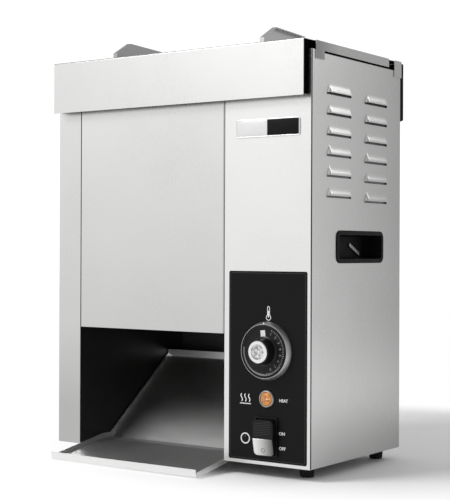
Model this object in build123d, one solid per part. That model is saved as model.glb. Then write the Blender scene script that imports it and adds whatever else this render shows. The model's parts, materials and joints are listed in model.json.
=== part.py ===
"""Vertical contact toaster: a hot upright platen between two belts, in a folded steel cabinet.

Written in the cabinet's own frame: X to the right, Y to the rear with zero at the front panels, and Z up
with zero at the panels' lower edge. Each piece is moved once, when it is written, so that the finished part
has its origin in the middle of its footprint, on the table. All sizes are in millimetres.
"""

import os
from math import asin, atan2, cos, hypot, pi, radians, sin, tan

from build123d import *

# Cabinet
body_width = 448.0
body_depth = 256.0
body_height = 560.0
post_width = 43.6
column_width = 140.5
skin = 1.0
bend = 1.6
seam = 0.4
panel_lip = 15.0
cover_bottom = 176.0
cover_top_gap = 15.0
cover_return = 13.0
cover_lift = 14.0
cover_stud_radius = 2.5
cover_stud_head = 4.0
cover_stud_margin = 48.0
cover_slot_gap = 0.3

# Clearances shared by the whole part
run_gap = 0.05
fit_gap = 0.1
near_gap = 0.3
overrun = 1.0

# Feet
foot_height = 17.0
foot_radius = 11.0
foot_taper = 1.6
foot_post_gap = 14.6
foot_front_inset = 40.0
foot_rear_inset = 20.0
screw_radius = 2.0
screw_head_radius = 4.0
screw_head = 2.4
foot_recess_radius = 6.0
foot_recess = 8.0

# Chassis
pan_sheet = 1.2
pan_opening_margin = 10.0
wall_sheet = 1.5
column_inset = 2.5
wall_foot = 8.0
wall_front_gap = 1.0

# Top cover and its feeder
lid_rise = 12.6
skirt_stand_off = 15.5
skirt_height = 75.5
skirt_inset = 3.0
side_flange = 12.6
lid_side_gap = 0.3
flange_front = 32.5
flange_rear_inset = 39.5
front_tab_start = 10.0
rear_tab_width = 22.5
tab_drop = 12.0
rear_skirt_gap = 6.0
rear_skirt_height = 88.0
feed_front_reach = 52.0
feed_rear_reach = 66.0
ear_height = 44.0
ear_front_height = 25.0
ear_front_reach = 50.5
ear_peak_reach = 18.0
ear_rear_reach = 62.0
ear_fall = 3.0
ear_sheet = 1.5
ear_foot = 9.0
ear_lip = 6.0
guide_sheet = 1.2
guide_drop = 22.0
front_guide_rise = 10.0
rear_guide_rise = 24.0
divider_rise = 14.0

# Platen, heating element and release sheet
platen_thickness = 26.0
platen_shift = 7.0
platen_bottom = 205.0
platen_top_gap = 25.0
platen_end_gap = 9.0
platen_fillet = 4.0
element_radius = 4.0
element_runs = 6
element_first = 36.0
element_last = 34.0
element_margin = 26.0
element_turn_share = 0.48
terminal_reach = 16.0
post_pin_radius = 5.0
post_pin_inset = 12.0
release_sheet = 0.6
sensor_radius = 3.0
sensor_length = 110.0
capillary_radius = 1.0
capillary_bend = 10.0

# Belts and rollers
crown_channel = 22.0
heel_channel = 16.0
belt_thickness = 2.0
belt_end_gap = 15.0
roller_radius = 20.0
roller_recess = 6.0
roller_wall = 3.0
shaft_radius = 6.0
shaft_tail = 3.0
lower_shaft_rise = 11.0
upper_shaft_drop = 16.0
bush_radius = 9.0
bush_flange_radius = 12.0
bush_flange = 1.5
frame_sheet = 1.5
frame_gap = 1.0
frame_end_gap = 3.0
frame_ear_radius = 10.0
shield_sheet = 0.8
shield_gap = 8.0
shield_flange = 10.0

# Chain drive
chain_pitch = 8.0
drive_teeth = 16
pinion_teeth = 10
tooth_rise = 1.6
tooth_depth = 2.2
tooth_tip_share = 0.12
tooth_root_share = 0.26
sprocket_width = 3.0
sprocket_hub_radius = 10.0
pinion_hub_radius = 7.5
sprocket_hub = 3.0
chain_width = 6.0
chain_thickness = 4.0
chain_gap = 0.4
chain_offset = 8.0
motor_offset = 6.9
motor_drop = 76.0
idler_rise = 76.0
idler_stud_radius = 4.0
idler_head_radius = 6.5
idler_head = 2.0
idler_collar_radius = 6.0

# Gearmotor
gearbox_gap = 2.5
gearbox_depth = 32.0
gearbox_width = 76.0
gearbox_height = 84.0
gearbox_fillet = 8.0
gearbox_shift = 16.0
motor_can_radius = 31.0
motor_can_length = 58.0
motor_shaft_radius = 4.0
motor_boss_radius = 9.0
motor_boss = 2.0
standoff_radius = 4.0
standoff_inset = 9.0

# Bun chute
chute_sheet = 1.2
chute_bend = 3.0
chute_reach = 62.0
chute_lip = 11.5
chute_lip_lean = 2.5
chute_table_gap = 0.6
chute_flat_start = 50.0
chute_flat_length = 18.0
chute_back_gap = 40.0
chute_back_height = 117.0
chute_upstand = 12.0
chute_side_gap = 1.6
chute_rim = 7.0

# Right side louvres
louvre_width = 67.0
louvre_height = 13.0
louvre_out = 4.5
louvre_edge = 2.2
louvre_end_slope = 5.0
louvre_shoulder = 6.0
louvre_mouth = 2.6
louvre_rows = 6
louvre_pitch = 28.0
louvre_top_gap = 41.0
louvre_gap = 38.0
louvre_shift = 1.5
louvre_rear_drop = 3.8

# Handle pockets
pocket_shift = 5.8
pocket_length = 133.6
pocket_top_gap = 240.6
pocket_height = 45.4
pocket_corner = 10.0
pocket_flange = 1.6
pocket_flange_width = 4.0
pocket_depth = 24.0
pocket_wall = 2.0
pocket_slope = 2.0
clip_length = 32.0
clip_width = 5.0
clip_thickness = 2.0
clip_angle = -26.0
clip_from_pocket = 86.0
clip_rise = 19.5

# Badge and control overlay
badge_shift = 1.75
badge_length = 103.0
badge_top_gap = 89.8
badge_height = 24.6
badge_corner = 3.0
badge_thickness = 1.6
badge_rim = 1.4
badge_inlay = 0.6
overlay_left_gap = 9.5
overlay_right_gap = 5.2
overlay_bottom = 4.7
overlay_height = 258.5
overlay_corner = 2.5
overlay_thickness = 0.6

# Thermostat dial
dial_rise = 65.0
dial_radius = 40.0
dial_depth = 9.0
dial_ring = 4.2
dial_gap = 0.5
knob_lip = 2.4
knob_dish = 1.6
knob_hub_radius = 18.0
knob_cap_radius = 15.0
knob_cap_rim = 1.4
knob_reach = 22.0
knob_cap_thickness = 2.4
knob_stem_radius = 3.0
stem_bush_radius = 5.0
stem_bush_reach = 2.0
stem_bush_wall_gap = 0.4
knob_socket = 14.0
stem_inside = 6.0
thermostat_width = 44.0
thermostat_height = 50.0
thermostat_depth = 30.0

# Pilot lamp
lamp_rise = 51.0
lamp_bezel_radius = 12.0
lamp_bezel_depth = 3.0
lamp_lens_radius = 9.6
lamp_lens_depth = 4.6
lamp_body_radius = 7.4
lamp_body_length = 26.0
lamp_nut_radius = 11.0
lamp_nut = 4.0

# Rocker switch
switch_rise = 34.3
switch_width = 36.0
switch_tall = 53.0
switch_corner = 3.0
switch_bezel_depth = 3.0
switch_wall = 1.2
switch_body_depth = 24.0
rocker_half = 24.0
rocker_corner = 5.0
rocker_tilt = 6.0
rocker_slope = 6.0
rocker_pivot_depth = 1.0
rocker_face = 13.6
rocker_back = 7.0
rocker_back_half = 9.0
rocker_pin_radius = 2.0
rocker_pin_length = 0.8
rocker_side_gap = 0.4
paddle_thickness = 1.2
paddle_margin = 0.5

# Rear panel, gland, reset button and fan
rear_inset = 3.0
rear_screw_inset = 9.0
rear_screw_rows = 4
rear_screw_first = 40.0
rear_screw_top_inset = 95.0
gland_inset = 48.0
gland_height = 60.0
gland_bore = 4.5
gland_neck_radius = 8.0
gland_hex_radius = 11.0
gland_hex = 6.0
gland_dome_radius = 8.5
gland_dome = 8.0
gland_thread = 9.0
reset_inset = 48.0
reset_height = 140.0
reset_radius = 4.0
reset_collar_radius = 7.5
reset_collar = 5.0
reset_reach = 3.0
reset_travel = 2.0
reset_body_radius = 14.0
reset_body_length = 16.0
reset_stem_radius = 2.0
fan_side_gap = 7.0
fan_drop = 160.0
fan_size = 92.0
fan_depth = 25.0
fan_wall = 3.0
fan_hub_radius = 17.0
fan_plate = 3.0
fan_strut = 5.0
fan_blades = 7
fan_blade_thickness = 1.6
fan_blade_pitch = 32.0
fan_tip_gap = 1.2
fan_pin_radius = 2.0
vent_slots = 9
vent_slot_width = 4.0
vent_slot_share = 0.42

# Electrical pieces in the control compartment
terminal_size = (58.0, 22.0, 18.0)
terminal_rear_inset = 38.0
terminal_pitch = 14.0
terminal_screw_radius = 3.0
terminal_inset = 74.0

# Places that follow from the sizes above
left = -body_width / 2
right = body_width / 2
mid_depth = body_depth / 2
cavity_left = left + post_width
column_left = right - column_width
cavity_right = column_left + column_inset
wall_outer_left = cavity_left - wall_sheet
wall_outer_right = cavity_right + wall_sheet
foot_side_inset = post_width - foot_post_gap
pan_top = skin + pan_sheet
cover_top = body_height - cover_top_gap
lid_height = body_height + lid_rise
lid_under = lid_height - skin
skirt_half = right - skirt_inset
flange_rear = body_depth - flange_rear_inset
rear_tab_start = body_depth - rear_tab_width
platen_mid = mid_depth + platen_shift
platen_top = body_height - platen_top_gap
element_pitch = (platen_top - platen_bottom - element_first - element_last) / (element_runs - 1)
feed_front = platen_mid - feed_front_reach
feed_rear = platen_mid + feed_rear_reach
ear_front = platen_mid - ear_front_reach
ear_peak = platen_mid - ear_peak_reach
ear_rear = platen_mid + ear_rear_reach
front_belt_face = platen_mid - platen_thickness / 2 - release_sheet - crown_channel
rear_belt_face = platen_mid + platen_thickness / 2 + release_sheet + heel_channel
belt_radius = roller_radius + near_gap + belt_thickness
front_shaft_y = front_belt_face - belt_radius
rear_shaft_y = rear_belt_face + belt_radius
lower_shaft_height = platen_bottom + lower_shaft_rise
upper_shaft_height = platen_top - upper_shaft_drop
belt_left = cavity_left + belt_end_gap
belt_right = cavity_right - belt_end_gap
chain_x = wall_outer_right + chain_offset
gearbox_stand = chain_offset + sprocket_width / 2 + sprocket_hub + gearbox_gap + motor_boss
motor_y = rear_shaft_y - motor_offset
motor_height = lower_shaft_height - motor_drop
idler_height = lower_shaft_height + idler_rise
chute_flat_end = chute_flat_start + chute_flat_length
chute_back = body_depth - chute_back_gap
pan_opening_depth = chute_flat_start + pan_opening_margin
louvre_middle = mid_depth - louvre_shift
louvre_columns = (
    (louvre_middle - louvre_gap / 2 - louvre_width, 0),
    (louvre_middle + louvre_gap / 2, louvre_rear_drop),
)
pocket_start = mid_depth + pocket_shift - pocket_length / 2
pocket_bottom = body_height - pocket_top_gap - pocket_height
clip_y = pocket_start + clip_from_pocket
clip_height = pocket_bottom + clip_rise
overlay_left = column_left + overlay_left_gap
overlay_width = right - overlay_right_gap - overlay_left
control_x = overlay_left + overlay_width / 2
badge_left = right - column_width / 2 + badge_shift - badge_length / 2
badge_bottom = body_height - badge_top_gap - badge_height
switch_height = overlay_bottom + switch_rise
lamp_height = switch_height + lamp_rise
dial_height = lamp_height + dial_rise
rear_screw_last = body_height - rear_screw_top_inset
gland_x = right - gland_inset
reset_x = right - reset_inset
fan_x = right - skin - panel_lip - fan_side_gap - fan_size / 2
fan_height = body_height - fan_drop
terminal_x = right - terminal_inset
terminal_y = body_depth - terminal_rear_inset
foot_z = -foot_height
rear_face = body_depth + skin
rear_reach = rear_face + gland_hex + gland_dome
front_reach = chute_reach + chute_lip_lean + chute_sheet / 2
louvre_reach = right + louvre_out
pocket_reach = left - pocket_flange
origin_x = (louvre_reach + pocket_reach) / 2
origin_y = (rear_reach - front_reach) / 2
to_origin = Pos(-origin_x, -origin_y, foot_height)


def block(x, y, z):
    """A box between two limits on each axis."""
    centre = ((x[0] + x[1]) / 2, (y[0] + y[1]) / 2, (z[0] + z[1]) / 2)
    return Pos(*centre) * Box(x[1] - x[0], y[1] - y[0], z[1] - z[0])


def rod_x(x, y, z, radius):
    """A round bar along X between the limits x."""
    return Pos((x[0] + x[1]) / 2, y, z) * Rot(0, 90, 0) * Cylinder(radius, x[1] - x[0])


def rod_y(x, y, z, radius):
    """A round bar along Y between the limits y."""
    return Pos(x, (y[0] + y[1]) / 2, z) * Rot(90, 0, 0) * Cylinder(radius, y[1] - y[0])


def rod_z(x, y, z, radius):
    """A round bar along Z between the limits z."""
    return Pos(x, y, (z[0] + z[1]) / 2) * Cylinder(radius, z[1] - z[0])


def slab_yz(shape, x):
    """A flat shape in the YZ plane, made solid between the limits x."""
    return extrude(Plane.YZ.offset(x[0]) * shape, x[1] - x[0])


def slab_xz(shape, y):
    """A flat shape in the XZ plane, made solid between the limits y."""
    return extrude(Plane.XZ.offset(-y[1]) * shape, y[1] - y[0])


def slab_xy(shape, z):
    """A flat shape in the XY plane, made solid between the limits z."""
    return extrude(Plane.XY.offset(z[0]) * shape, z[1] - z[0])


def outline(*points):
    """A closed flat shape with straight sides."""
    return make_face(Polyline(*points, close=True))


def folded(points, radius, thickness):
    """The cut edge of a folded sheet whose middle line runs through the points."""
    return trace(FilletPolyline(*points, radius=radius), thickness)


def turned(x, z, points):
    """A body turned about a Y axis at x, z from its half section of (radius, y) points."""
    profile = Plane.XY * outline(*points)
    return Pos(x, 0, z) * revolve(profile, Axis.Y)


def group(shapes):
    """Several separate solids kept as one set."""
    return Compound([solid for shape in shapes for solid in shape.solids()])


def screw_y(x, z, y, length):
    """A pan-head screw that stands on the face at y and runs back towards the front by its length."""
    head = rod_y(x, (y, y + screw_head), z, screw_head_radius)
    return head + rod_y(x, (y - length, y), z, screw_radius)


def foot_places():
    """The middle of each foot, in the XY plane."""
    sides = (left + foot_side_inset, right - foot_side_inset)
    rows = (foot_front_inset, body_depth - foot_rear_inset)
    return [(x, y) for x in sides for y in rows]


def base_pan():
    """Floor sheet on the side panels' lower lips, open at the front where the chute passes."""
    reach = half_inside()
    front = 2 * (skin + near_gap)
    pan = block((-reach, reach), (front, body_depth - skin - near_gap), (skin, pan_top))
    pan = fillet(pan.edges().filter_by(Axis.Z), bend)
    pan -= block((cavity_left, cavity_right), (0, pan_opening_depth), (0, pan_top + overrun))
    for x, y in foot_places():
        pan -= rod_z(x, y, (0, pan_top + overrun), screw_radius + fit_gap)
    return pan


def half_inside():
    """Half the width between the side panels' inner faces, less a fitting gap."""
    return right - skin - near_gap


def rubber_feet():
    """Four tapered feet with a recess for the screw head."""
    feet = []
    for x, y in foot_places():
        base = Plane.XY.offset(foot_z) * Circle(foot_radius - foot_taper)
        top = Plane.XY * Circle(foot_radius)
        foot = Pos(x, y, 0) * loft([base.face(), top.face()])
        foot -= rod_z(x, y, (foot_z, foot_z + foot_recess), foot_recess_radius)
        foot -= rod_z(x, y, (foot_z, 0), screw_radius + fit_gap)
        feet.append(foot)
    return group(feet)


def foot_screws():
    """A screw up through each foot into the floor sheet, with its nut inside."""
    screws = []
    for x, y in foot_places():
        seat = foot_z + foot_recess
        screw = rod_z(x, y, (seat - screw_head, seat), screw_head_radius)
        screw += rod_z(x, y, (seat, pan_top + screw_head), screw_radius)
        screw += rod_z(x, y, (pan_top, pan_top + screw_head), screw_head_radius)
        screws.append(screw)
    return group(screws)


def side_lips(side, front_lip):
    """The inward lips along a side panel's top and bottom edges."""
    inner = right - skin
    reach = inner - panel_lip
    y = (front_lip, body_depth - skin)
    lips = block((reach, inner), y, (0, skin)) + block((reach, inner), y, (body_height - skin, body_height))
    for x, foot_y in foot_places():
        lips -= rod_z(abs(x), foot_y, (0, skin), foot_radius)
    return lips if side > 0 else mirror(lips, Plane.YZ)


def pocket_cutout(side):
    """The hole in a side panel that a handle pocket fills."""
    edge = pocket_flange_width - near_gap
    shape = RectangleRounded(pocket_length - 2 * edge, pocket_height - 2 * edge, pocket_corner - edge)
    middle = (pocket_start + pocket_length / 2, pocket_bottom + pocket_height / 2)
    hole = slab_yz(Pos(*middle) * shape, (right - skin - overrun, right + overrun))
    return hole if side > 0 else mirror(hole, Plane.YZ)


def left_side_panel():
    """Left skin with the front post folded from the same sheet."""
    mid = skin / 2
    edge = left + mid
    plan = folded(
        [
            (cavity_left, mid),
            (edge, mid),
            (edge, body_depth - mid),
            (edge + panel_lip, body_depth - mid),
        ],
        bend,
        skin,
    )
    panel = slab_xy(plan, (0, body_height))
    panel += side_lips(-1, skin)
    for z in rear_screw_heights():
        panel -= rod_y(-rear_screw_x(), (body_depth - skin, body_depth), z, screw_radius + fit_gap)
    return panel - pocket_cutout(-1)


def louvre_section(y, z, offset, inset):
    """A hood's section parallel to the panel, at an offset from the panel's face."""
    share = offset / louvre_out
    foot = louvre_width / 2 - inset - louvre_end_slope * share
    height = louvre_height - inset - (louvre_height - louvre_edge) * share
    top = foot - louvre_shoulder * height / louvre_height
    middle = y + louvre_width / 2
    corners = [(middle - foot, z), (middle + foot, z), (middle + top, z + height), (middle - top, z + height)]
    return (Plane.YZ.offset(right + offset) * outline(*corners)).face()


def louvre_hood(y, z):
    """The outer and inner forms of one pressed hood, open at its lower edge and through the panel."""
    hood = loft([louvre_section(y, z, 0, 0), louvre_section(y, z, louvre_out, 0)])
    behind = -skin - overrun
    hollow = loft([louvre_section(y, z, behind, skin), louvre_section(y, z, louvre_out - skin, skin)])
    return hood, hollow


def right_side_panel():
    """Right skin with two columns of pressed louvres that open downwards."""
    mid = skin / 2
    edge = right - mid
    lip_y = skin + near_gap + mid
    plan = folded(
        [
            (edge - panel_lip, lip_y),
            (edge, lip_y),
            (edge, body_depth - mid),
            (edge - panel_lip, body_depth - mid),
        ],
        bend,
        skin,
    )
    panel = slab_xy(plan, (0, body_height))
    panel += side_lips(1, skin + near_gap)
    through = (right - skin - overrun, right + overrun)
    for y, drop in louvre_columns:
        for row in range(louvre_rows):
            z = body_height - louvre_top_gap - louvre_height - drop - row * louvre_pitch
            hood, hollow = louvre_hood(y, z)
            mouth = block(through, (y, y + louvre_width), (z - louvre_mouth, z))
            panel = panel + hood - hollow - mouth
    for z in rear_screw_heights():
        panel -= rod_y(rear_screw_x(), (body_depth - skin, body_depth), z, screw_radius + fit_gap)
    return panel - pocket_cutout(1)


def switch_opening(depth):
    """The hole that the switch's body passes through, in the XZ plane."""
    grip = switch_wall + near_gap
    shape = Pos(control_x, switch_height) * Rectangle(switch_width - grip, switch_tall - grip)
    return slab_xz(shape, depth)


def control_panel():
    """Front of the control column, folded back along its left edge."""
    mid = skin / 2
    depth = panel_lip + wall_front_gap
    plan = folded(
        [(column_left + mid, depth), (column_left + mid, mid), (right - seam, mid)], bend, skin
    )
    panel = slab_xy(plan, (0, body_height))
    front = (-overrun, skin + overrun)
    panel -= rod_y(control_x, front, dial_height, stem_bush_radius + stem_bush_wall_gap)
    panel -= rod_y(control_x, front, lamp_height, lamp_body_radius + near_gap)
    return panel - switch_opening(front)


def cover_stud_heights():
    """Heights of the upper and lower hanging studs."""
    return (cover_bottom + cover_stud_margin, cover_top - cover_stud_margin)


def front_cover():
    """Lift-off front cover: folded sides with upright slots that hang on the studs."""
    mid = skin / 2
    x = (cavity_left + seam + mid, column_left - seam - mid)
    plan = folded([(x[0], cover_return), (x[0], mid), (x[1], mid), (x[1], cover_return)], bend, skin)
    cover = slab_xy(plan, (cover_bottom, cover_top))
    for z in ((cover_bottom, cover_bottom + skin), (cover_top - skin, cover_top)):
        cover += block((x[0], x[1]), (mid, cover_return), z)
    slot = cover_stud_radius + cover_slot_gap
    reach = (x[0] - overrun, x[1] + overrun)
    for z in cover_stud_heights():
        cover -= rod_x(reach, cover_stud_y(), z, slot)
        cover -= rod_x(reach, cover_stud_y(), z - cover_lift, slot)
        cover -= block(reach, (cover_stud_y() - slot, cover_stud_y() + slot), (z - cover_lift, z))
    return cover


def cover_stud_y():
    """Depth of the studs, in the middle of the cover's side folds."""
    return (skin + bend + cover_return) / 2


def cover_studs():
    """Headed studs on the left wall and the control panel's fold, which the cover's slots hang on."""
    studs = []
    inner = seam + 2 * skin
    left_tip = cavity_left + inner + cover_slot_gap
    right_tip = column_left - inner - cover_slot_gap
    for z in cover_stud_heights():
        for base, tip in ((cavity_left, left_tip), (column_left, right_tip)):
            away = overrun if tip > base else -overrun
            stem = rod_x(sorted((base, tip)), cover_stud_y(), z, cover_stud_radius)
            studs.append(stem + rod_x(sorted((tip, tip + away)), cover_stud_y(), z, cover_stud_head))
    return group(studs)


def shaft_places():
    """The axis of each belt roller, as (y, z)."""
    return {
        "front_lower_roller": (front_shaft_y, lower_shaft_height),
        "front_upper_roller": (front_shaft_y, upper_shaft_height),
        "rear_lower_roller": (rear_shaft_y, lower_shaft_height),
        "rear_upper_roller": (rear_shaft_y, upper_shaft_height),
    }


def chassis_wall(side):
    """Inner wall beside the belts, with feet and a top lip turned away from the cavity."""
    if side < 0:
        x = (wall_outer_left, cavity_left)
        foot = (wall_outer_left - wall_foot, cavity_left)
    else:
        x = (cavity_right, wall_outer_right)
        foot = (cavity_right, wall_outer_right + wall_foot)
    y = (skin + wall_front_gap + cover_return, body_depth - skin - near_gap)
    wall = block(x, y, (pan_top, lid_under))
    nose = (skin + near_gap, y[0])
    wall += block(x, nose, (pan_top, lid_under))
    for z in ((pan_top, pan_top + wall_sheet), (lid_under - wall_sheet, lid_under)):
        wall += block(foot, y, z)
    cut = (x[0] - overrun, x[1] + overrun)
    for shaft_y, shaft_z in shaft_places().values():
        wall -= rod_x(cut, shaft_y, shaft_z, bush_radius + run_gap)
    return wall


def left_chassis_wall():
    """The wall behind the left post."""
    return chassis_wall(-1)


def right_chassis_wall():
    """The wall between the belts and the controls, with holes for the element and the sensor."""
    wall = chassis_wall(1)
    cut = (cavity_right - overrun, wall_outer_right + overrun)
    for z in (element_height(0), element_height(element_runs - 1)):
        wall -= rod_x(cut, platen_mid, z, element_radius + near_gap)
    return wall - rod_x(cut, platen_mid, sensor_height(), sensor_radius + near_gap)


def top_cover():
    """Lid sheet with the deep front skirt, side flanges with tabs, rear skirt and the feed opening."""
    front = -skirt_stand_off
    rear = rear_face + rear_skirt_gap
    outside = right + lid_side_gap + skin
    mid = skin / 2
    profile = folded(
        [
            (front + mid, lid_height - skirt_height),
            (front + mid, lid_height - mid),
            (rear + mid, lid_height - mid),
            (rear + mid, lid_height - rear_skirt_height),
        ],
        bend,
        skin,
    )
    lid = slab_yz(profile, (-skirt_half, skirt_half))
    for side in (-1, 1):
        wing = sorted((side * (skirt_half - skin), side * outside))
        lid += block(wing, (flange_front, flange_rear), (lid_under, lid_height))
        edge = sorted((side * (outside - skin), side * outside))
        lid += block(edge, (flange_front, flange_rear), (lid_height - side_flange, lid_height))
        for tab in ((front_tab_start, flange_front), (rear_tab_start, body_depth)):
            lid += block(wing, tab, (lid_under, lid_height))
            lid += block(edge, tab, (lid_height - side_flange - tab_drop, lid_height))
    opening = (cavity_left + skin, cavity_right - skin)
    return lid - block(opening, (feed_front, feed_rear), (lid_under - overrun, lid_height + overrun))


def ear_x(side):
    """The limits of one end plate of the feeder."""
    if side < 0:
        return (cavity_left - ear_sheet, cavity_left)
    return (cavity_right, cavity_right + ear_sheet)


def feeder_end(side):
    """End plate on the lid with a foot and a folded lip along its front, sloping and level edges."""
    x = ear_x(side)
    top = lid_height + ear_height
    edge = [
        (ear_front, lid_height),
        (ear_front, lid_height + ear_front_height),
        (ear_peak, top),
        (ear_rear, top - ear_fall),
    ]
    plate = slab_yz(outline(*edge, (ear_rear, lid_height)), x)
    lip = trace(Polyline(*edge), ear_sheet)
    outer = x[0] - ear_lip if side < 0 else x[1] + ear_lip
    lip_x = (outer, x[1]) if side < 0 else (x[0], outer)
    plate += slab_yz(lip, lip_x)
    foot = (x[0] - ear_foot, x[1]) if side < 0 else (x[0], x[1] + ear_foot)
    plate += block(foot, (ear_front + ear_foot, ear_rear), (lid_height, lid_height + ear_sheet))
    return plate - block((left, right), (0, body_depth), (0, lid_height))


def feeder_ends():
    """The pair of end plates."""
    return group([feeder_end(-1), feeder_end(1)])


def feed_span():
    """The limits between the feeder's end plates."""
    return (cavity_left, cavity_right)


def guide_end_span():
    """The part of a guide below the lid, which clears the lid's opening."""
    return (cavity_left + skin + near_gap, cavity_right - skin - near_gap)


def guide(points):
    """A guide sheet that fills the feeder above the lid and passes through its opening below."""
    edge = trace(Polyline(*points), guide_sheet)
    sheet = slab_yz(edge, feed_span())
    below = block((left, right), (0, body_depth), (0, lid_height))
    return (sheet - below) + (slab_yz(edge, guide_end_span()) & below)


def feed_guides():
    """Sloping sheets that lead a crown into the front channel and a heel into the rear one."""
    bottom = lid_height - guide_drop
    front = [
        (feed_front + 2 * guide_sheet, lid_height + front_guide_rise),
        (front_belt_face - guide_sheet, bottom),
    ]
    rear = [
        (feed_rear - 2 * guide_sheet, lid_height + rear_guide_rise),
        (rear_belt_face + guide_sheet, bottom),
    ]
    return group([guide(front), guide(rear)])


def feed_divider():
    """Folded ridge over the platen that parts the two channels."""
    bottom = lid_height - guide_drop
    half = platen_thickness / 2
    ridge = [
        (platen_mid - half, bottom),
        (platen_mid, lid_height + divider_rise),
        (platen_mid + half, bottom),
    ]
    return guide(ridge)


def element_height(run):
    """Height of one straight run of the heating element."""
    return platen_bottom + element_first + run * element_pitch


def sensor_height():
    """Height of the sensor, midway between two runs that are joined at the far end."""
    return element_height(2) + element_pitch / 2


def platen_x():
    """The platen's limits between the chassis walls."""
    return (cavity_left + platen_end_gap, cavity_right - platen_end_gap)


def element_path():
    """Middle line of the element: level runs joined by half turns, with both ends at the right."""
    far = platen_x()[0] + element_margin
    near = platen_x()[1] - element_margin
    end = wall_outer_right + terminal_reach
    points = [(end, element_height(0))]
    for run in range(element_runs):
        inner = far if run % 2 == 0 else near
        if run < element_runs - 1:
            points.append((inner, element_height(run)))
            points.append((inner, element_height(run + 1)))
    points.append((end, element_height(element_runs - 1)))
    plane = Plane.XZ.offset(-platen_mid)
    return plane * FilletPolyline(*points, radius=element_pitch * element_turn_share)


def element_tube(radius):
    """A round bar of the given radius along the element's middle line."""
    path = element_path()
    start = Plane(origin=path @ 0, z_dir=path % 0)
    return sweep(start * Circle(radius), path=path)


def heating_element():
    """Sheathed element, clamped between the platen's halves."""
    return element_tube(element_radius)


def sensor_bar(radius, reach):
    """The sensor's straight bulb from inside the platen out to the given X."""
    inner = platen_x()[1] - sensor_length
    return rod_x((inner, reach), platen_mid, sensor_height(), radius)


def platen_half(side):
    """One cast half of the platen, grooved for the element and the sensor."""
    half = platen_thickness / 2
    y = (platen_mid - half, platen_mid) if side < 0 else (platen_mid, platen_mid + half)
    plate = block(platen_x(), y, (platen_bottom, platen_top))
    face = Axis.Y
    outer = plate.edges().group_by(face)[0 if side < 0 else -1]
    plate = fillet(outer, platen_fillet)
    plate -= element_tube(element_radius + run_gap)
    return plate - sensor_bar(sensor_radius + run_gap, cavity_right)


def platen_halves():
    """The front and rear castings, face to face."""
    return group([platen_half(-1), platen_half(1)])


def platen_posts():
    """Spacer posts between the chassis walls and the platen's ends."""
    posts = []
    left_end, right_end = platen_x()
    half = platen_thickness / 2
    for z in (platen_bottom + post_pin_inset, platen_top - post_pin_inset):
        for y in (platen_mid - half / 2, platen_mid + half / 2):
            posts.append(rod_x((cavity_left, left_end), y, z, post_pin_radius))
            posts.append(rod_x((right_end, cavity_right), y, z, post_pin_radius))
    return group(posts)


def release_sheet_wrap():
    """Thin non-stick sheet that hangs over the platen's top and down both faces."""
    gap = fit_gap
    half = platen_thickness / 2 + gap
    x = (belt_left, belt_right)
    outer = half + release_sheet
    top = platen_top + gap
    sheet = block(x, (platen_mid - outer, platen_mid + outer), (platen_bottom, top + release_sheet))
    return sheet - block(
        (x[0] - overrun, x[1] + overrun), (platen_mid - half, platen_mid + half), (0, top)
    )


def roller(name):
    """A belt roller turned with its shaft; the lower shafts run on to the chain."""
    y, z = shaft_places()[name]
    start = wall_outer_left - bush_flange - shaft_tail
    if "lower" in name:
        end = chain_x + sprocket_width / 2 + sprocket_hub + shaft_tail
    else:
        end = wall_outer_right + bush_flange + shaft_tail
    drum = rod_x((belt_left, belt_right), y, z, roller_radius)
    hollow = roller_radius - roller_wall
    for x in ((belt_left, belt_left + roller_recess), (belt_right - roller_recess, belt_right)):
        drum -= rod_x(x, y, z, hollow)
    return drum + rod_x((start, end), y, z, shaft_radius)


def shaft_bushes():
    """Flanged bushes in both walls for every roller shaft."""
    bushes = []
    for y, z in shaft_places().values():
        for inner, outer in ((cavity_left, wall_outer_left), (cavity_right, wall_outer_right)):
            away = bush_flange if outer > inner else -bush_flange
            bush = rod_x(sorted((inner, outer)), y, z, bush_radius)
            bush += rod_x(sorted((outer, outer + away)), y, z, bush_flange_radius)
            ends = sorted((inner - away, outer + 2 * away))
            bushes.append(bush - rod_x(ends, y, z, shaft_radius + run_gap))
    return group(bushes)


def loop_face(circles, offset):
    """The flat shape inside an endless loop, grown by an offset.

    Each circle is (y, z, radius, turn), in the loop's anticlockwise order. The turn is 1 where the circle
    lies inside the loop and -1 where the loop passes it on its back.
    """
    grown = [(y, z, radius + turn * offset, turn) for y, z, radius, turn in circles]
    count = len(grown)
    headings = []
    for index in range(count):
        y0, z0, r0, t0 = grown[index]
        y1, z1, r1, t1 = grown[(index + 1) % count]
        dy, dz = y1 - y0, z1 - z0
        headings.append(atan2(dz, dy) + asin((t0 * r0 - t1 * r1) / hypot(dy, dz)))
    arcs = []
    for index, (y, z, radius, turn) in enumerate(grown):
        start = headings[index - 1] - turn * pi / 2
        sweep_angle = turn * ((turn * (headings[index] - headings[index - 1])) % (2 * pi))
        at = [start, start + sweep_angle / 2, start + sweep_angle]
        arcs.append([(y + radius * cos(angle), z + radius * sin(angle)) for angle in at])
    edges = []
    for index, points in enumerate(arcs):
        edges.append(ThreePointArc(*points))
        edges.append(Line(points[2], arcs[(index + 1) % count][0]))
    return make_face(Wire(edges))


def loop_band(circles, thickness, x):
    """An endless band whose inner face follows the circles."""
    return slab_yz(loop_face(circles, thickness) - loop_face(circles, 0), x)


def belt(shaft_y):
    """One endless belt round an upper and a lower roller."""
    radius = roller_radius + near_gap
    circles = [
        (shaft_y, lower_shaft_height, radius, 1),
        (shaft_y, upper_shaft_height, radius, 1),
    ]
    return loop_band(circles, belt_thickness, (belt_left, belt_right))


def toasting_belts():
    """The belt in front of the platen and the one behind it."""
    return group([belt(front_shaft_y), belt(rear_shaft_y)])


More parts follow.
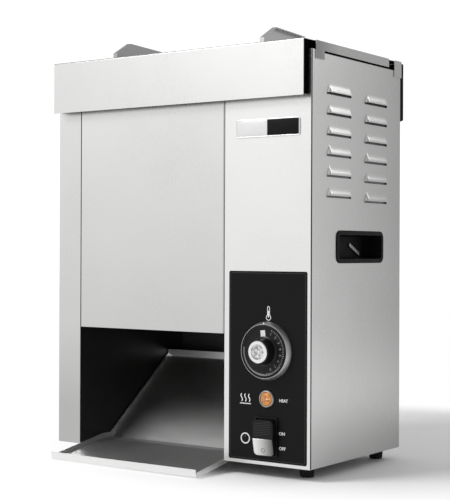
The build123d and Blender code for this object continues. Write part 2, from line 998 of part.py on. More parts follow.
def belt_frame(shaft_y, side):
    """Channel inside a belt: a pressure plate behind the working run, with an ear round each shaft."""
    face = shaft_y + side * (roller_radius + near_gap - frame_gap)
    plate = sorted((face, face - side * frame_sheet))
    ends = (belt_left - frame_end_gap - frame_sheet, belt_right + frame_end_gap + frame_sheet)
    clear = roller_radius + frame_gap
    web = block(ends, plate, (lower_shaft_height + clear, upper_shaft_height - clear))
    for x in ((ends[0], ends[0] + frame_sheet), (ends[1] - frame_sheet, ends[1])):
        reach = sorted((shaft_y - side * frame_ear_radius, face))
        web += block(x, reach, (lower_shaft_height, upper_shaft_height))
        for z in (lower_shaft_height, upper_shaft_height):
            web += rod_x(x, shaft_y, z, frame_ear_radius)
    cut = (ends[0] - overrun, ends[1] + overrun)
    for z in (lower_shaft_height, upper_shaft_height):
        web -= rod_x(cut, shaft_y, z, shaft_radius + run_gap)
    return web


def belt_frames():
    """The channel inside each belt."""
    return group([belt_frame(front_shaft_y, 1), belt_frame(rear_shaft_y, -1)])


def heat_shield(y, side):
    """Plain sheet between the walls behind a belt, with side flanges on the walls."""
    flange = sorted((y, y + side * shield_flange))
    z = (lower_shaft_height - roller_radius, upper_shaft_height + roller_radius)
    sheet = block((cavity_left, cavity_right), sorted((y, y + side * shield_sheet)), z)
    for x in ((cavity_left, cavity_left + shield_sheet), (cavity_right - shield_sheet, cavity_right)):
        sheet += block(x, flange, z)
    return sheet


def heat_shields():
    """Shields between the belts and the front cover and rear panel."""
    front = front_shaft_y - belt_radius - shield_gap
    rear = rear_shaft_y + belt_radius + shield_gap
    return group([heat_shield(front, -1), heat_shield(rear, 1)])


def pitch_radius(teeth):
    """Radius at which the chain's pins run."""
    return chain_pitch / (2 * sin(pi / teeth))


def toothed_disc(teeth):
    """A sprocket's toothed outline."""
    tip = pitch_radius(teeth) + tooth_rise
    root = pitch_radius(teeth) - tooth_depth
    step = 2 * pi / teeth
    points = []
    for tooth in range(teeth):
        middle = tooth * step
        for share, radius in (
            (-tooth_root_share, root),
            (-tooth_tip_share, tip),
            (tooth_tip_share, tip),
            (tooth_root_share, root),
        ):
            angle = middle + share * step
            points.append((radius * cos(angle), radius * sin(angle)))
    return outline(*points)


def sprocket(y, z, teeth, hub_radius, bore):
    """A sprocket in the chain's plane with a hub on its right."""
    x = (chain_x - sprocket_width / 2, chain_x + sprocket_width / 2)
    wheel = slab_yz(Pos(y, z) * toothed_disc(teeth), x)
    wheel += rod_x((x[1], x[1] + sprocket_hub), y, z, hub_radius)
    return wheel - rod_x((x[0] - overrun, x[1] + sprocket_hub + overrun), y, z, bore)


def front_drive_sprocket():
    """Sprocket on the front belt's lower shaft."""
    bore = shaft_radius + fit_gap / 2
    return sprocket(front_shaft_y, lower_shaft_height, drive_teeth, sprocket_hub_radius, bore)


def rear_drive_sprocket():
    """Sprocket on the rear belt's lower shaft, driven by the chain's back."""
    bore = shaft_radius + fit_gap / 2
    return sprocket(rear_shaft_y, lower_shaft_height, drive_teeth, sprocket_hub_radius, bore)


def motor_sprocket():
    """Small sprocket on the gearmotor's shaft."""
    return sprocket(motor_y, motor_height, pinion_teeth, pinion_hub_radius, motor_shaft_radius + fit_gap / 2)


def idler_sprocket():
    """Small sprocket that turns freely on the idler stud."""
    return sprocket(motor_y, idler_height, pinion_teeth, pinion_hub_radius, idler_stud_radius + run_gap)


def idler_stud():
    """Shouldered stud on the chassis wall that carries the idler."""
    shoulder = chain_x - sprocket_width / 2 - near_gap
    tip = chain_x + sprocket_width / 2 + sprocket_hub + near_gap
    stud = rod_x((wall_outer_right, shoulder), motor_y, idler_height, idler_collar_radius)
    stud += rod_x((shoulder, tip), motor_y, idler_height, idler_stud_radius)
    return stud + rod_x((tip, tip + idler_head), motor_y, idler_height, idler_head_radius)


def chain_circles():
    """The circles that the chain's inner face follows, just off the tooth tips."""
    drive = pitch_radius(drive_teeth) + tooth_rise + chain_gap
    small = pitch_radius(pinion_teeth) + tooth_rise + chain_gap
    return [
        (motor_y, motor_height, small, 1),
        (rear_shaft_y, lower_shaft_height, drive + chain_thickness, -1),
        (motor_y, idler_height, small, 1),
        (front_shaft_y, lower_shaft_height, drive, 1),
    ]


def drive_chain():
    """Endless chain from the gearmotor round the belts' sprockets and the idler."""
    x = (chain_x - chain_width / 2, chain_x + chain_width / 2)
    return loop_band(chain_circles(), chain_thickness, x)


def gearbox_face():
    """X of the gearbox's mounting face."""
    return wall_outer_right + gearbox_stand


def gearmotor():
    """Gearbox with its motor can, held off the chassis wall."""
    x = (gearbox_face(), gearbox_face() + gearbox_depth)
    z = motor_height - gearbox_shift
    box = slab_yz(Pos(motor_y, z) * RectangleRounded(gearbox_width, gearbox_height, gearbox_fillet), x)
    can_end = x[1] + motor_can_length
    can = rod_x((x[1], can_end), motor_y, z - gearbox_shift / 2, motor_can_radius)
    box += can
    box += rod_x((x[0] - motor_boss, x[0]), motor_y, motor_height, motor_boss_radius)
    bore = (x[0] - motor_boss, x[1] - motor_boss)
    return box - rod_x(bore, motor_y, motor_height, motor_shaft_radius + run_gap)


def motor_shaft():
    """Output shaft from inside the gearbox to its sprocket."""
    end = gearbox_face() + gearbox_depth - 2 * motor_boss
    return rod_x((chain_x - sprocket_width / 2 - near_gap, end), motor_y, motor_height, motor_shaft_radius)


def motor_standoffs():
    """Four posts between the chassis wall and the gearbox."""
    posts = []
    half_y = gearbox_width / 2 - standoff_inset
    half_z = gearbox_height / 2 - standoff_inset
    middle = motor_height - gearbox_shift
    for y in (motor_y - half_y, motor_y + half_y):
        for z in (middle - half_z, middle + half_z):
            posts.append(rod_x((wall_outer_right, gearbox_face()), y, z, standoff_radius))
    return group(posts)


def chute_line():
    """Middle line of the chute from the lip's top edge to the top of the back stop."""
    half = chute_sheet / 2
    table = foot_z + chute_table_gap + half
    flat = pan_top + half
    return [
        (-chute_reach - chute_lip_lean, table + chute_lip),
        (-chute_reach, table),
        (chute_flat_start, flat),
        (chute_flat_end, flat),
        (chute_back, chute_back_height),
        (chute_back, chute_back_height + chute_upstand),
    ]


def bun_chute():
    """Removable chute: front lip on the table's side, shallow floor, steep ramp and turned-up rims."""
    x = (cavity_left + chute_side_gap, column_left - seam)
    line = chute_line()
    chute = slab_yz(folded(line, chute_bend, chute_sheet), x)
    floor = line[1:5]
    rim_top = [(y, z + chute_rim) for y, z in reversed(floor)]
    rim = outline(*floor, *rim_top)
    for side in ((x[0], x[0] + chute_sheet), (x[1] - chute_sheet, x[1])):
        chute += slab_yz(rim, side)
    return chute


def pocket_shape(inset, corner_inset):
    """The pocket's outline in the YZ plane, drawn in by an inset."""
    length = pocket_length - 2 * inset
    shape = RectangleRounded(length, pocket_height - 2 * inset, pocket_corner - corner_inset)
    return Pos(pocket_start + pocket_length / 2, pocket_bottom + pocket_height / 2) * shape


def handle_pocket(side):
    """Moulded grip pocket: a flange on the panel and a tapering cup behind it."""
    edge = pocket_flange_width
    cup = slab_yz(pocket_shape(edge, edge), (right - pocket_depth, right))
    cup += slab_yz(pocket_shape(0, 0), (right, right + pocket_flange))
    mouth = edge + pocket_wall
    outer = Plane.YZ.offset(right + pocket_flange) * pocket_shape(mouth, mouth)
    inner = Plane.YZ.offset(right - pocket_depth + pocket_wall) * pocket_shape(mouth + pocket_slope, mouth)
    pocket = cup - loft([outer.face(), inner.face()])
    return pocket if side > 0 else mirror(pocket, Plane.YZ)


def handle_pockets():
    """A grip pocket in each side panel."""
    return group([handle_pocket(-1), handle_pocket(1)])


def pocket_clips():
    """A bright spring clip on the back wall of each pocket."""
    floor = right - pocket_depth + pocket_wall
    strip = Pos(floor + clip_thickness / 2, clip_y, clip_height) * Rot(clip_angle, 0, 0)
    clip = strip * Box(clip_thickness, clip_length, clip_width)
    return group([clip, mirror(clip, Plane.YZ)])


def badge_shape(inset):
    """The badge's outline in the XZ plane."""
    shape = RectangleRounded(badge_length - 2 * inset, badge_height - 2 * inset, badge_corner - inset)
    return Pos(badge_left + badge_length / 2, badge_bottom + badge_height / 2) * shape


def badge_plate():
    """Bare badge plate with a raised rim."""
    plate = slab_xz(badge_shape(0), (-badge_thickness, 0))
    recess = (-badge_thickness - overrun, -badge_thickness + badge_inlay)
    return plate - slab_xz(badge_shape(badge_rim), recess)


def control_overlay():
    """Dark film on the control panel, cut for the dial, the lamp and the switch."""
    shape = RectangleRounded(overlay_width, overlay_height, overlay_corner)
    middle = (overlay_left + overlay_width / 2, overlay_bottom + overlay_height / 2)
    depth = (-overlay_thickness, 0)
    film = slab_xz(Pos(*middle) * shape, depth)
    film -= rod_y(control_x, depth, dial_height, stem_bush_radius + stem_bush_wall_gap)
    film -= rod_y(control_x, depth, lamp_height, lamp_body_radius + near_gap)
    return film - switch_opening(depth)


def dial_bezel():
    """Fixed ring round the dial, with two fine steps on its face."""
    outer = dial_radius
    inner = dial_radius - dial_ring
    base = -overlay_thickness
    face = base - dial_depth
    step = dial_ring / 4
    return turned(
        control_x,
        dial_height,
        [
            (inner, base),
            (outer, base),
            (outer, face + step),
            (outer - step, face),
            (inner + step, face),
            (inner, face + step),
        ],
    )


def thermostat_knob():
    """Dished dial disc with its hub and the socket for the stem."""
    radius = dial_radius - dial_ring - dial_gap
    back = -overlay_thickness - dial_gap
    face = -overlay_thickness - dial_depth
    hub_front = -overlay_thickness - knob_reach
    profile = [
        (0, back),
        (radius, back),
        (radius, face),
        (radius - knob_lip, face),
        (radius - 2 * knob_lip, face + knob_dish),
        (knob_hub_radius + knob_lip, face + knob_dish),
        (knob_hub_radius, face),
        (knob_cap_radius + knob_cap_rim, hub_front),
        (0, hub_front),
    ]
    knob = turned(control_x, dial_height, profile)
    socket = (back - knob_socket, back)
    knob -= rod_y(control_x, socket, dial_height, knob_stem_radius + fit_gap / 2)
    relief = (-overlay_thickness - stem_bush_reach - 2 * near_gap, back)
    return knob - rod_y(control_x, relief, dial_height, stem_bush_radius + near_gap)


def knob_cap():
    """Bright disc let into the front of the hub."""
    front = -overlay_thickness - knob_reach
    rim = knob_cap_rim
    return turned(
        control_x,
        dial_height,
        [
            (0, front),
            (knob_cap_radius, front),
            (knob_cap_radius, front - knob_cap_thickness + rim),
            (knob_cap_radius - rim, front - knob_cap_thickness),
            (0, front - knob_cap_thickness),
        ],
    )


def thermostat_stem():
    """Stem from inside the thermostat into the knob's socket."""
    back = -overlay_thickness - dial_gap
    reach = (back - knob_socket + near_gap, skin + stem_inside)
    return rod_y(control_x, reach, dial_height, knob_stem_radius)


def thermostat_body():
    """Capillary thermostat behind the panel, with the bush that comes through it."""
    half_x = thermostat_width / 2
    half_z = thermostat_height / 2
    x = (control_x - half_x, control_x + half_x)
    body = block(x, (skin, skin + thermostat_depth), (dial_height - half_z, dial_height + half_z))
    bush = (-overlay_thickness - stem_bush_reach, skin)
    body += rod_y(control_x, bush, dial_height, stem_bush_radius)
    reach = (bush[0] - overrun, skin + stem_inside + near_gap)
    return body - rod_y(control_x, reach, dial_height, knob_stem_radius + run_gap)


def temperature_sensor():
    """Sensor bulb in the platen with its capillary back to the thermostat."""
    end = wall_outer_right + terminal_reach
    bulb = sensor_bar(sensor_radius, end)
    turn_x = control_x
    back = skin + thermostat_depth
    points = [
        (end, platen_mid, sensor_height()),
        (turn_x, platen_mid, sensor_height()),
        (turn_x, platen_mid, dial_height),
        (turn_x, back, dial_height),
    ]
    path = FilletPolyline(*points, radius=capillary_bend)
    start = Plane(origin=path @ 0, z_dir=path % 0)
    return bulb + sweep(start * Circle(capillary_radius), path=path)


def lamp_bezel():
    """Bright ring round the pilot lamp."""
    base = -overlay_thickness
    front = base - lamp_bezel_depth
    inner = lamp_lens_radius + fit_gap
    slope = (lamp_bezel_radius - inner) / 2
    return turned(
        control_x,
        lamp_height,
        [
            (inner, base),
            (lamp_bezel_radius, base),
            (lamp_bezel_radius, base - lamp_bezel_depth / 2),
            (lamp_bezel_radius - slope, front),
            (inner, front),
        ],
    )


def lamp_lens():
    """Amber lens seated on the lamp body."""
    base = -overlay_thickness
    front = base - lamp_lens_depth
    crown = lamp_lens_radius / 2
    return turned(
        control_x,
        lamp_height,
        [
            (0, base),
            (lamp_lens_radius, base),
            (lamp_lens_radius, base - lamp_bezel_depth / 2),
            (crown, front),
            (0, front),
        ],
    )


def lamp_body():
    """Lamp holder through the panel with its clamping nut."""
    back = skin + lamp_body_length
    holder = rod_y(control_x, (-overlay_thickness, back), lamp_height, lamp_body_radius)
    nut = Pos(control_x, lamp_height) * RegularPolygon(lamp_nut_radius, 6)
    return holder + slab_xz(nut, (skin, skin + lamp_nut))


def switch_bezel():
    """Switch frame with its hollow body through the panel and bores for the rocker's pins."""
    base = -overlay_thickness
    front = base - switch_bezel_depth
    middle = Pos(control_x, switch_height)
    frame = slab_xz(middle * RectangleRounded(switch_width, switch_tall, switch_corner), (front, base))
    grip = switch_wall + 2 * near_gap
    body = Rectangle(switch_width - grip, switch_tall - grip)
    frame += slab_xz(middle * body, (base, skin + switch_body_depth))
    hollow = Rectangle(2 * rocker_half_width() + 2 * rocker_side_gap, 2 * rocker_swing())
    depth = (front - overrun, skin + switch_body_depth - switch_wall)
    frame -= slab_xz(middle * hollow, depth)
    pins = (control_x - rocker_half_width() - rocker_side_gap - rocker_pin_length,
            control_x + rocker_half_width() + rocker_side_gap + rocker_pin_length)
    return frame - rod_x(pins, rocker_pivot_depth, switch_height, rocker_pin_radius + run_gap)


def rocker_half_width():
    """Half the rocker's width, inside the switch body's side walls."""
    return switch_width / 2 - 2 * switch_wall


def rocker_swing():
    """How far up or down the rocker's ends reach inside the frame as it tips, with a gap."""
    mouth = rocker_pivot_depth + overlay_thickness + switch_bezel_depth
    return rocker_half + mouth * tan(radians(rocker_tilt)) + near_gap


def rocker_depth(z):
    """Distance of the rocker's face in front of its pins, at a height above or below its ridge."""
    return rocker_face - abs(z) * tan(radians(rocker_slope))


def rocker_profile():
    """The section of the rocker about the pins as (y, z), with a ridge in the middle of its face."""
    end = rocker_depth(rocker_half)
    return [
        (-end, rocker_half),
        (-rocker_face, 0),
        (-end, -rocker_half),
        (0, -rocker_half),
        (rocker_back, -rocker_back_half),
        (rocker_back, rocker_back_half),
        (0, rocker_half),
    ]


def paddle_profile():
    """The section of the facing on the rocker's lower face, about the pins as (y, z)."""
    top = -paddle_margin
    low = paddle_margin - rocker_half
    return [
        (-rocker_depth(top), top),
        (-rocker_depth(low), low),
        (-rocker_depth(low) - paddle_thickness, low),
        (-rocker_depth(top) - paddle_thickness, top),
    ]


def rocker_solid(profile, inset):
    """The rocker or its facing with rounded corners, tipped so that the lower end is pressed in."""
    half_width = rocker_half_width() - inset
    level = slab_yz(outline(*profile), (control_x - half_width, control_x + half_width))
    plan = RectangleRounded(2 * half_width, 2 * (rocker_half - inset), rocker_corner)
    reach = (-rocker_face - paddle_thickness - overrun, rocker_back + overrun)
    level &= slab_xz(Pos(control_x, 0) * plan, reach)
    return Pos(0, rocker_pivot_depth, switch_height) * Rot(rocker_tilt, 0, 0) * level


def switch_rocker():
    """Rocker with a pin at each side."""
    pins = rocker_half_width() + rocker_side_gap + rocker_pin_length - fit_gap
    rocker = rocker_solid(rocker_profile(), 0)
    return rocker + rod_x(
        (control_x - pins, control_x + pins), rocker_pivot_depth, switch_height, rocker_pin_radius
    )


def rocker_paddle():
    """Bright facing on the rocker's lower half."""
    return rocker_solid(paddle_profile(), paddle_margin)


def rear_screw_x():
    """Distance of the rear panel's screws from the middle."""
    return right - rear_screw_inset


def rear_screw_heights():
    """Heights of the rear panel's screws, evenly spaced."""
    step = (rear_screw_last - rear_screw_first) / (rear_screw_rows - 1)
    return [rear_screw_first + row * step for row in range(rear_screw_rows)]


def rear_panel():
    """Rear sheet over the side panels' lips, with the fan's vent slots and the small holes."""
    half = right - rear_inset
    panel = block((-half, half), (body_depth, rear_face), (rear_inset, body_height - rear_inset))
    cut = (body_depth - overrun, rear_face + overrun)
    for z in rear_screw_heights():
        for side in (-1, 1):
            panel -= rod_y(side * rear_screw_x(), cut, z, screw_radius + fit_gap)
    panel -= rod_y(gland_x, cut, gland_height, gland_neck_radius + fit_gap)
    panel -= rod_y(reset_x, cut, reset_height, reset_collar_radius + fit_gap)
    reach = fan_size * vent_slot_share
    step = 2 * reach / vent_slots
    for slot in range(vent_slots):
        offset = -reach + (slot + 1 / 2) * step
        half_length = (reach**2 - offset**2) ** (1 / 2)
        length = max(2 * half_length, 2 * vent_slot_width)
        hole = Pos(fan_x, fan_height + offset) * SlotOverall(length, vent_slot_width)
        panel -= slab_xz(hole, cut)
    return panel


def rear_screws():
    """Screws that hold the rear panel to the side panels."""
    length = skin + panel_lip / 2
    places = [(side * rear_screw_x(), z) for z in rear_screw_heights() for side in (-1, 1)]
    return group([screw_y(x, z, rear_face, length) for x, z in places])


def cable_gland():
    """Gland through the rear panel for the supply cord."""
    hexagon = Pos(gland_x, gland_height) * RegularPolygon(gland_hex_radius, 6)
    gland = slab_xz(hexagon, (rear_face, rear_face + gland_hex))
    gland += rod_y(gland_x, (rear_face + gland_hex, rear_reach), gland_height, gland_dome_radius)
    start = body_depth - gland_thread
    gland += rod_y(gland_x, (start, rear_face), gland_height, gland_neck_radius)
    return gland - rod_y(gland_x, (start - overrun, rear_reach + overrun), gland_height, gland_bore)


def limit_thermostat():
    """Over-temperature cut-out behind the rear panel with its collar."""
    y = (body_depth - reset_body_length, body_depth)
    body = rod_y(reset_x, y, reset_height, reset_body_radius)
    body += rod_y(reset_x, (body_depth, rear_face + reset_collar), reset_height, reset_collar_radius)
    cut = (body_depth - reset_travel - near_gap, rear_face + reset_collar + overrun)
    body -= rod_y(reset_x, cut, reset_height, reset_radius + fit_gap)
    stem = (y[0] + near_gap, body_depth)
    return body - rod_y(reset_x, stem, reset_height, reset_stem_radius + fit_gap)


def reset_button():
    """Button in the collar with its stem to the cut-out."""
    tip = rear_face + reset_collar + reset_reach
    button = rod_y(reset_x, (body_depth, tip), reset_height, reset_radius)
    stem = body_depth - reset_body_length + near_gap + reset_travel + near_gap
    return button + rod_y(reset_x, (stem, body_depth), reset_height, reset_stem_radius)


def fan_y():
    """The fan's limits, against the rear panel's inner face."""
    return (body_depth - fan_depth, body_depth)


def fan_housing():
    """Square fan frame with a motor plate on three struts."""
    y = fan_y()
    middle = Pos(fan_x, fan_height)
    frame = slab_xz(middle * RectangleRounded(fan_size, fan_size, fan_wall), y)
    tunnel = fan_size / 2 - fan_wall
    frame -= rod_y(fan_x, (y[0] - overrun, y[1] + overrun), fan_height, tunnel)
    plate_y = (y[0], y[0] + fan_plate)
    frame += rod_y(fan_x, plate_y, fan_height, fan_hub_radius)
    for strut in range(3):
        turn = Pos(fan_x, 0, fan_height) * Rot(0, strut * 360 / 3, 0)
        reach = (fan_hub_radius + tunnel) / 2
        length = tunnel - fan_hub_radius + 2 * fan_wall
        bar = Pos(reach, (plate_y[0] + plate_y[1]) / 2, 0) * Box(length, fan_plate, fan_strut)
        frame += turn * bar
    return frame + rod_y(fan_x, (plate_y[1], y[1] - fan_plate), fan_height, fan_pin_radius)


def fan_impeller():
    """Hub with pitched blades, free on the fan's pin."""
    y = fan_y()
    hub_y = (y[0] + fan_plate + near_gap, y[1] - fan_plate)
    wheel = rod_y(fan_x, hub_y, fan_height, fan_hub_radius)
    tip = fan_size / 2 - fan_wall - fan_tip_gap
    chord = hub_y[1] - hub_y[0] - fan_plate
    middle_y = (hub_y[0] + hub_y[1]) / 2
    for blade in range(fan_blades):
        turn = Pos(fan_x, middle_y, fan_height) * Rot(0, blade * 360 / fan_blades, 0)
        reach = (fan_hub_radius + tip) / 2
        length = tip - fan_hub_radius + fan_wall
        vane = Rot(fan_blade_pitch, 0, 0) * Box(length, chord, fan_blade_thickness)
        wheel += turn * Pos(reach - fan_wall / 2, 0, 0) * vane
    wheel &= rod_y(fan_x, hub_y, fan_height, tip)
    bore = (hub_y[0] - overrun, hub_y[1] + overrun)
    return wheel - rod_y(fan_x, bore, fan_height, fan_pin_radius + run_gap)


def terminal_block():
    """Terminal strip on the floor sheet for the supply."""
    width, depth, height = terminal_size
    strip = Pos(terminal_x, terminal_y, pan_top + height / 2) * Box(width, depth, height)
    for index in (-1, 0, 1):
        x = terminal_x + index * terminal_pitch
        strip -= rod_z(x, terminal_y, (pan_top + height / 2, pan_top + height), terminal_screw_radius)
    return strip


NODES = {
    "base_pan": base_pan,
    "rubber_feet": rubber_feet,
    "foot_screws": foot_screws,
    "left_side_panel": left_side_panel,
    "right_side_panel": right_side_panel,
    "control_panel": control_panel,
    "rear_panel": rear_panel,
    "rear_screws": rear_screws,
    "front_cover": front_cover,
    "cover_studs": cover_studs,
    "left_chassis_wall": left_chassis_wall,
    "right_chassis_wall": right_chassis_wall,
    "top_cover": top_cover,
    "feeder_ends": feeder_ends,
    "feed_guides": feed_guides,
    "feed_divider": feed_divider,
    "platen_halves": platen_halves,
    "platen_posts": platen_posts,
    "heating_element": heating_element,
    "release_sheet": release_sheet_wrap,
    "temperature_sensor": temperature_sensor,
    "shaft_bushes": shaft_bushes,
    "toasting_belts": toasting_belts,
    "belt_frames": belt_frames,
    "heat_shields": heat_shields,
    "front_drive_sprocket": front_drive_sprocket,
    "rear_drive_sprocket": rear_drive_sprocket,
    "motor_sprocket": motor_sprocket,
    "idler_sprocket": idler_sprocket,
    "idler_stud": idler_stud,
    "drive_chain": drive_chain,
    "gearmotor": gearmotor,
    "motor_shaft": motor_shaft,
    "motor_standoffs": motor_standoffs,
    "bun_chute": bun_chute,
    "handle_pockets": handle_pockets,
    "pocket_clips": pocket_clips,
    "badge_plate": badge_plate,
    "control_overlay": control_overlay,
    "dial_bezel": dial_bezel,
    "thermostat_knob": thermostat_knob,
    "knob_cap": knob_cap,
    "thermostat_stem": thermostat_stem,
    "thermostat_body": thermostat_body,
    "lamp_bezel": lamp_bezel,
    "lamp_lens": lamp_lens,
    "lamp_body": lamp_body,
    "switch_bezel": switch_bezel,
    "switch_rocker": switch_rocker,
    "rocker_paddle": rocker_paddle,
    "cable_gland": cable_gland,
    "limit_thermostat": limit_thermostat,
    "reset_button": reset_button,
    "fan_housing": fan_housing,
    "fan_impeller": fan_impeller,
    "terminal_block": terminal_block,
}


def main():
    os.makedirs("parts", exist_ok=True)
    for name in shaft_places():
        export_step(to_origin * roller(name), f"parts/{name}.step")
    for name, build in NODES.items():
        export_step(to_origin * build(), f"parts/{name}.step")


if __name__ == "__main__":
    main()
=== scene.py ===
import json
import math

import bmesh
import bpy
from mathutils import Matrix, Vector
from mathutils.bvhtree import BVHTree


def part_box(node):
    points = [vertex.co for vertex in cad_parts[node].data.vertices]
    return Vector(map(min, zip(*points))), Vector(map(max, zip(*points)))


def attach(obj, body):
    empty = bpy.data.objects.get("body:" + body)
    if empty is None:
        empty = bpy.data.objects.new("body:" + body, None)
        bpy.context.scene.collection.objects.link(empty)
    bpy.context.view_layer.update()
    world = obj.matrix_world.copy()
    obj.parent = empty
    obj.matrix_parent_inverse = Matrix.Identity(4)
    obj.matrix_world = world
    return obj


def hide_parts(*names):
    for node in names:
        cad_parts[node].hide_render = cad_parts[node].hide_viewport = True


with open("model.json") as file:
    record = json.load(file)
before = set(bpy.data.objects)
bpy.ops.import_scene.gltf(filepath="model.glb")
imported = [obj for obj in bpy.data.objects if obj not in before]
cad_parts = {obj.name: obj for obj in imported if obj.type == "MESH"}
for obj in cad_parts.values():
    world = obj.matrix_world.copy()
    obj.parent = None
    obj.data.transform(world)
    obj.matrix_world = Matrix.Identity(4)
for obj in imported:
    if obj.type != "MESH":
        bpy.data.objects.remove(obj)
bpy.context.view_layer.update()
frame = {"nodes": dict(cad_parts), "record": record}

MM = 0.001

# Camera, in millimetres from the front's middle at the panels' lower edge, and in degrees
CAMERA_AT = (1111.25, -1464.4, 291.18)
CAMERA_AZIMUTH = 35.02
CAMERA_PITCH = -0.02
CAMERA_ROLL = 0.21
CAMERA_LENS = 92.8
SENSOR = 36.0

# Floor: its size, its look, and where it turns into the background
FLOOR_RADIUS = 9.0
FLOOR_SIDES = 96
FLOOR_LEVEL = 0.9
FLOOR_MOTTLE = 0.01
FLOOR_CLOUD = 3.0
FLOOR_GLOSS = (0.6, 0.7)
FLOOR_SHEEN = 0.1
FLOOR_DARK_AT = (0.1, 0.28, 0.0)
FLOOR_FADE = (0.36, 0.54)
FLOOR_RIGHT = (0.6, 1.6)

# Studio: its brightness towards the sides and upwards
STUDIO_SPAN = (-0.4, 0.45)
STUDIO_SIDES = (1.1, 0.6)
STUDIO_RISE = (0.2, 0.8)
STUDIO_HEIGHTS = (1.0, 0.5)

# Lamps, in metres and watts
KEY_AT = (-1.3, -1.9, 2.3)
KEY_AIM = (0, 0, 0.25)
KEY_SIZE = (1.2, 1.2)
KEY_POWER = 62.0
RIM_AT = (1.25, 1.3, 1.5)
RIM_AIM = (0.22, 0.02, 0.4)
RIM_SIZE = (0.8, 0.8)
RIM_POWER = 4.5


def middle(node):
    """The centre of a node's box."""
    low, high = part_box(node)
    return (low + high) / 2


# Landmarks read from the frame
LEFT_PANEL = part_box("left_side_panel")
RIGHT_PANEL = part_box("right_side_panel")
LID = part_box("top_cover")
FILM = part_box("control_overlay")
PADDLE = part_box("rocker_paddle")
FRONT = LEFT_PANEL[0].y
REAR = LEFT_PANEL[1].y
BASE = LEFT_PANEL[0].z
TOP = LEFT_PANEL[1].z
LEFT_FACE = LEFT_PANEL[0].x
CENTRE = middle("top_cover").x
RIGHT_FACE = 2 * CENTRE - LEFT_FACE
DIAL = middle("dial_bezel")
LAMP = middle("lamp_bezel")
SWITCH = middle("switch_bezel")
ROOM = "cabinet"


# Shader nodes

RAMP_SPAN = (0.3, 0.7)
PLAIN_DETAIL = 2.0
DETAIL = 3.0
RICH_DETAIL = 4.0


def as_colour(value):
    """A grey level or a triple as a colour with alpha."""
    if isinstance(value, (int, float)):
        value = (value, value, value)
    return (*value, 1.0)


def scaled(colour, share):
    """A colour made darker or lighter."""
    return tuple(channel * share for channel in colour)


def near(level, offsets):
    """The range that two offsets give round a level."""
    return tuple(level + offset for offset in offsets)


def map_range(tree, value, span, levels, shape="SMOOTHSTEP"):
    """The value's stretch over a span, as numbers from the first level to the second."""
    made = tree.nodes.new("ShaderNodeMapRange")
    made.interpolation_type = shape
    for name, number in zip(("From Min", "From Max", "To Min", "To Max"), (*span, *levels)):
        made.inputs[name].default_value = number
    tree.links.new(value, made.inputs["Value"])
    return made.outputs["Result"]


def combine(tree, first, second, operation="MULTIPLY"):
    """One value from two, by a math operation."""
    made = tree.nodes.new("ShaderNodeMath")
    made.operation = operation
    tree.links.new(first, made.inputs[0])
    tree.links.new(second, made.inputs[1])
    return made.outputs[0]


class Shader:
    """A material whose nodes are added by short calls."""

    def __init__(self, name):
        self.material = bpy.data.materials.new(name)
        self.material.use_nodes = True
        self.tree = self.material.node_tree
        self.bsdf = self.tree.nodes["Principled BSDF"]
        self.coord = None

    def node(self, kind, **values):
        """A new node with its settings."""
        made = self.tree.nodes.new(kind)
        for key, value in values.items():
            setattr(made, key, value)
        return made

    def link(self, start, end):
        """A link from one socket to another."""
        self.tree.links.new(start, end)

    def set(self, **values):
        """Uniform values on the shader's own sockets."""
        for key, value in values.items():
            self.bsdf.inputs[key.replace("_", " ")].default_value = value

    def place(self, scale=(1, 1, 1)):
        """The object's own coordinates, multiplied by a scale."""
        if self.coord is None:
            self.coord = self.node("ShaderNodeTexCoord")
        mapping = self.node("ShaderNodeMapping")
        mapping.inputs["Scale"].default_value = scale
        self.link(self.coord.outputs["Object"], mapping.inputs["Vector"])
        return mapping.outputs["Vector"]

    def noise(self, scale, stretch=(1, 1, 1), detail=DETAIL):
        """A cloudy pattern from 0 to 1."""
        made = self.node("ShaderNodeTexNoise")
        made.inputs["Scale"].default_value = scale
        made.inputs["Detail"].default_value = detail
        self.link(self.place(stretch), made.inputs["Vector"])
        return made.outputs["Fac"]

    def ramp(self, factor, low, high, span):
        """Colours or grey levels from low to high over a stretch of the factor."""
        made = self.node("ShaderNodeValToRGB")
        first, last = made.color_ramp.elements
        first.position, last.position = span
        first.color = as_colour(low)
        last.color = as_colour(high)
        self.link(factor, made.inputs["Fac"])
        return made.outputs["Color"]

    def faded(self, colour, painted_fades):
        """The colour, darker or brighter along the object's own axes, as painted light and shade."""
        if not painted_fades:
            return colour
        split = self.node("ShaderNodeSeparateXYZ")
        self.link(self.place(), split.inputs["Vector"])
        share = None
        for axis, span, levels in painted_fades:
            level = map_range(self.tree, split.outputs[axis], span, levels, "LINEAR")
            share = level if share is None else combine(self.tree, share, level)
        product = self.node("ShaderNodeVectorMath", operation="SCALE")
        self.link(colour, product.inputs[0])
        self.link(share, product.inputs["Scale"])
        return product.outputs["Vector"]

    def colour(self, factor, low, high, span=RAMP_SPAN, painted_fades=()):
        """The base colour, from low to high by a factor."""
        self.link(self.faded(self.ramp(factor, low, high, span), painted_fades), self.bsdf.inputs["Base Color"])

    def rough(self, factor, levels, span=RAMP_SPAN):
        """The roughness, between two levels by a factor."""
        self.link(self.ramp(factor, *levels, span), self.bsdf.inputs["Roughness"])

    def bump(self, factor, strength, distance):
        """A relief that follows a factor."""
        made = self.node("ShaderNodeBump")
        made.inputs["Strength"].default_value = strength
        made.inputs["Distance"].default_value = distance
        self.link(factor, made.inputs["Height"])
        self.link(made.outputs["Normal"], self.bsdf.inputs["Normal"])


# Brushed sheet: the lines run along the axis that keeps its scale

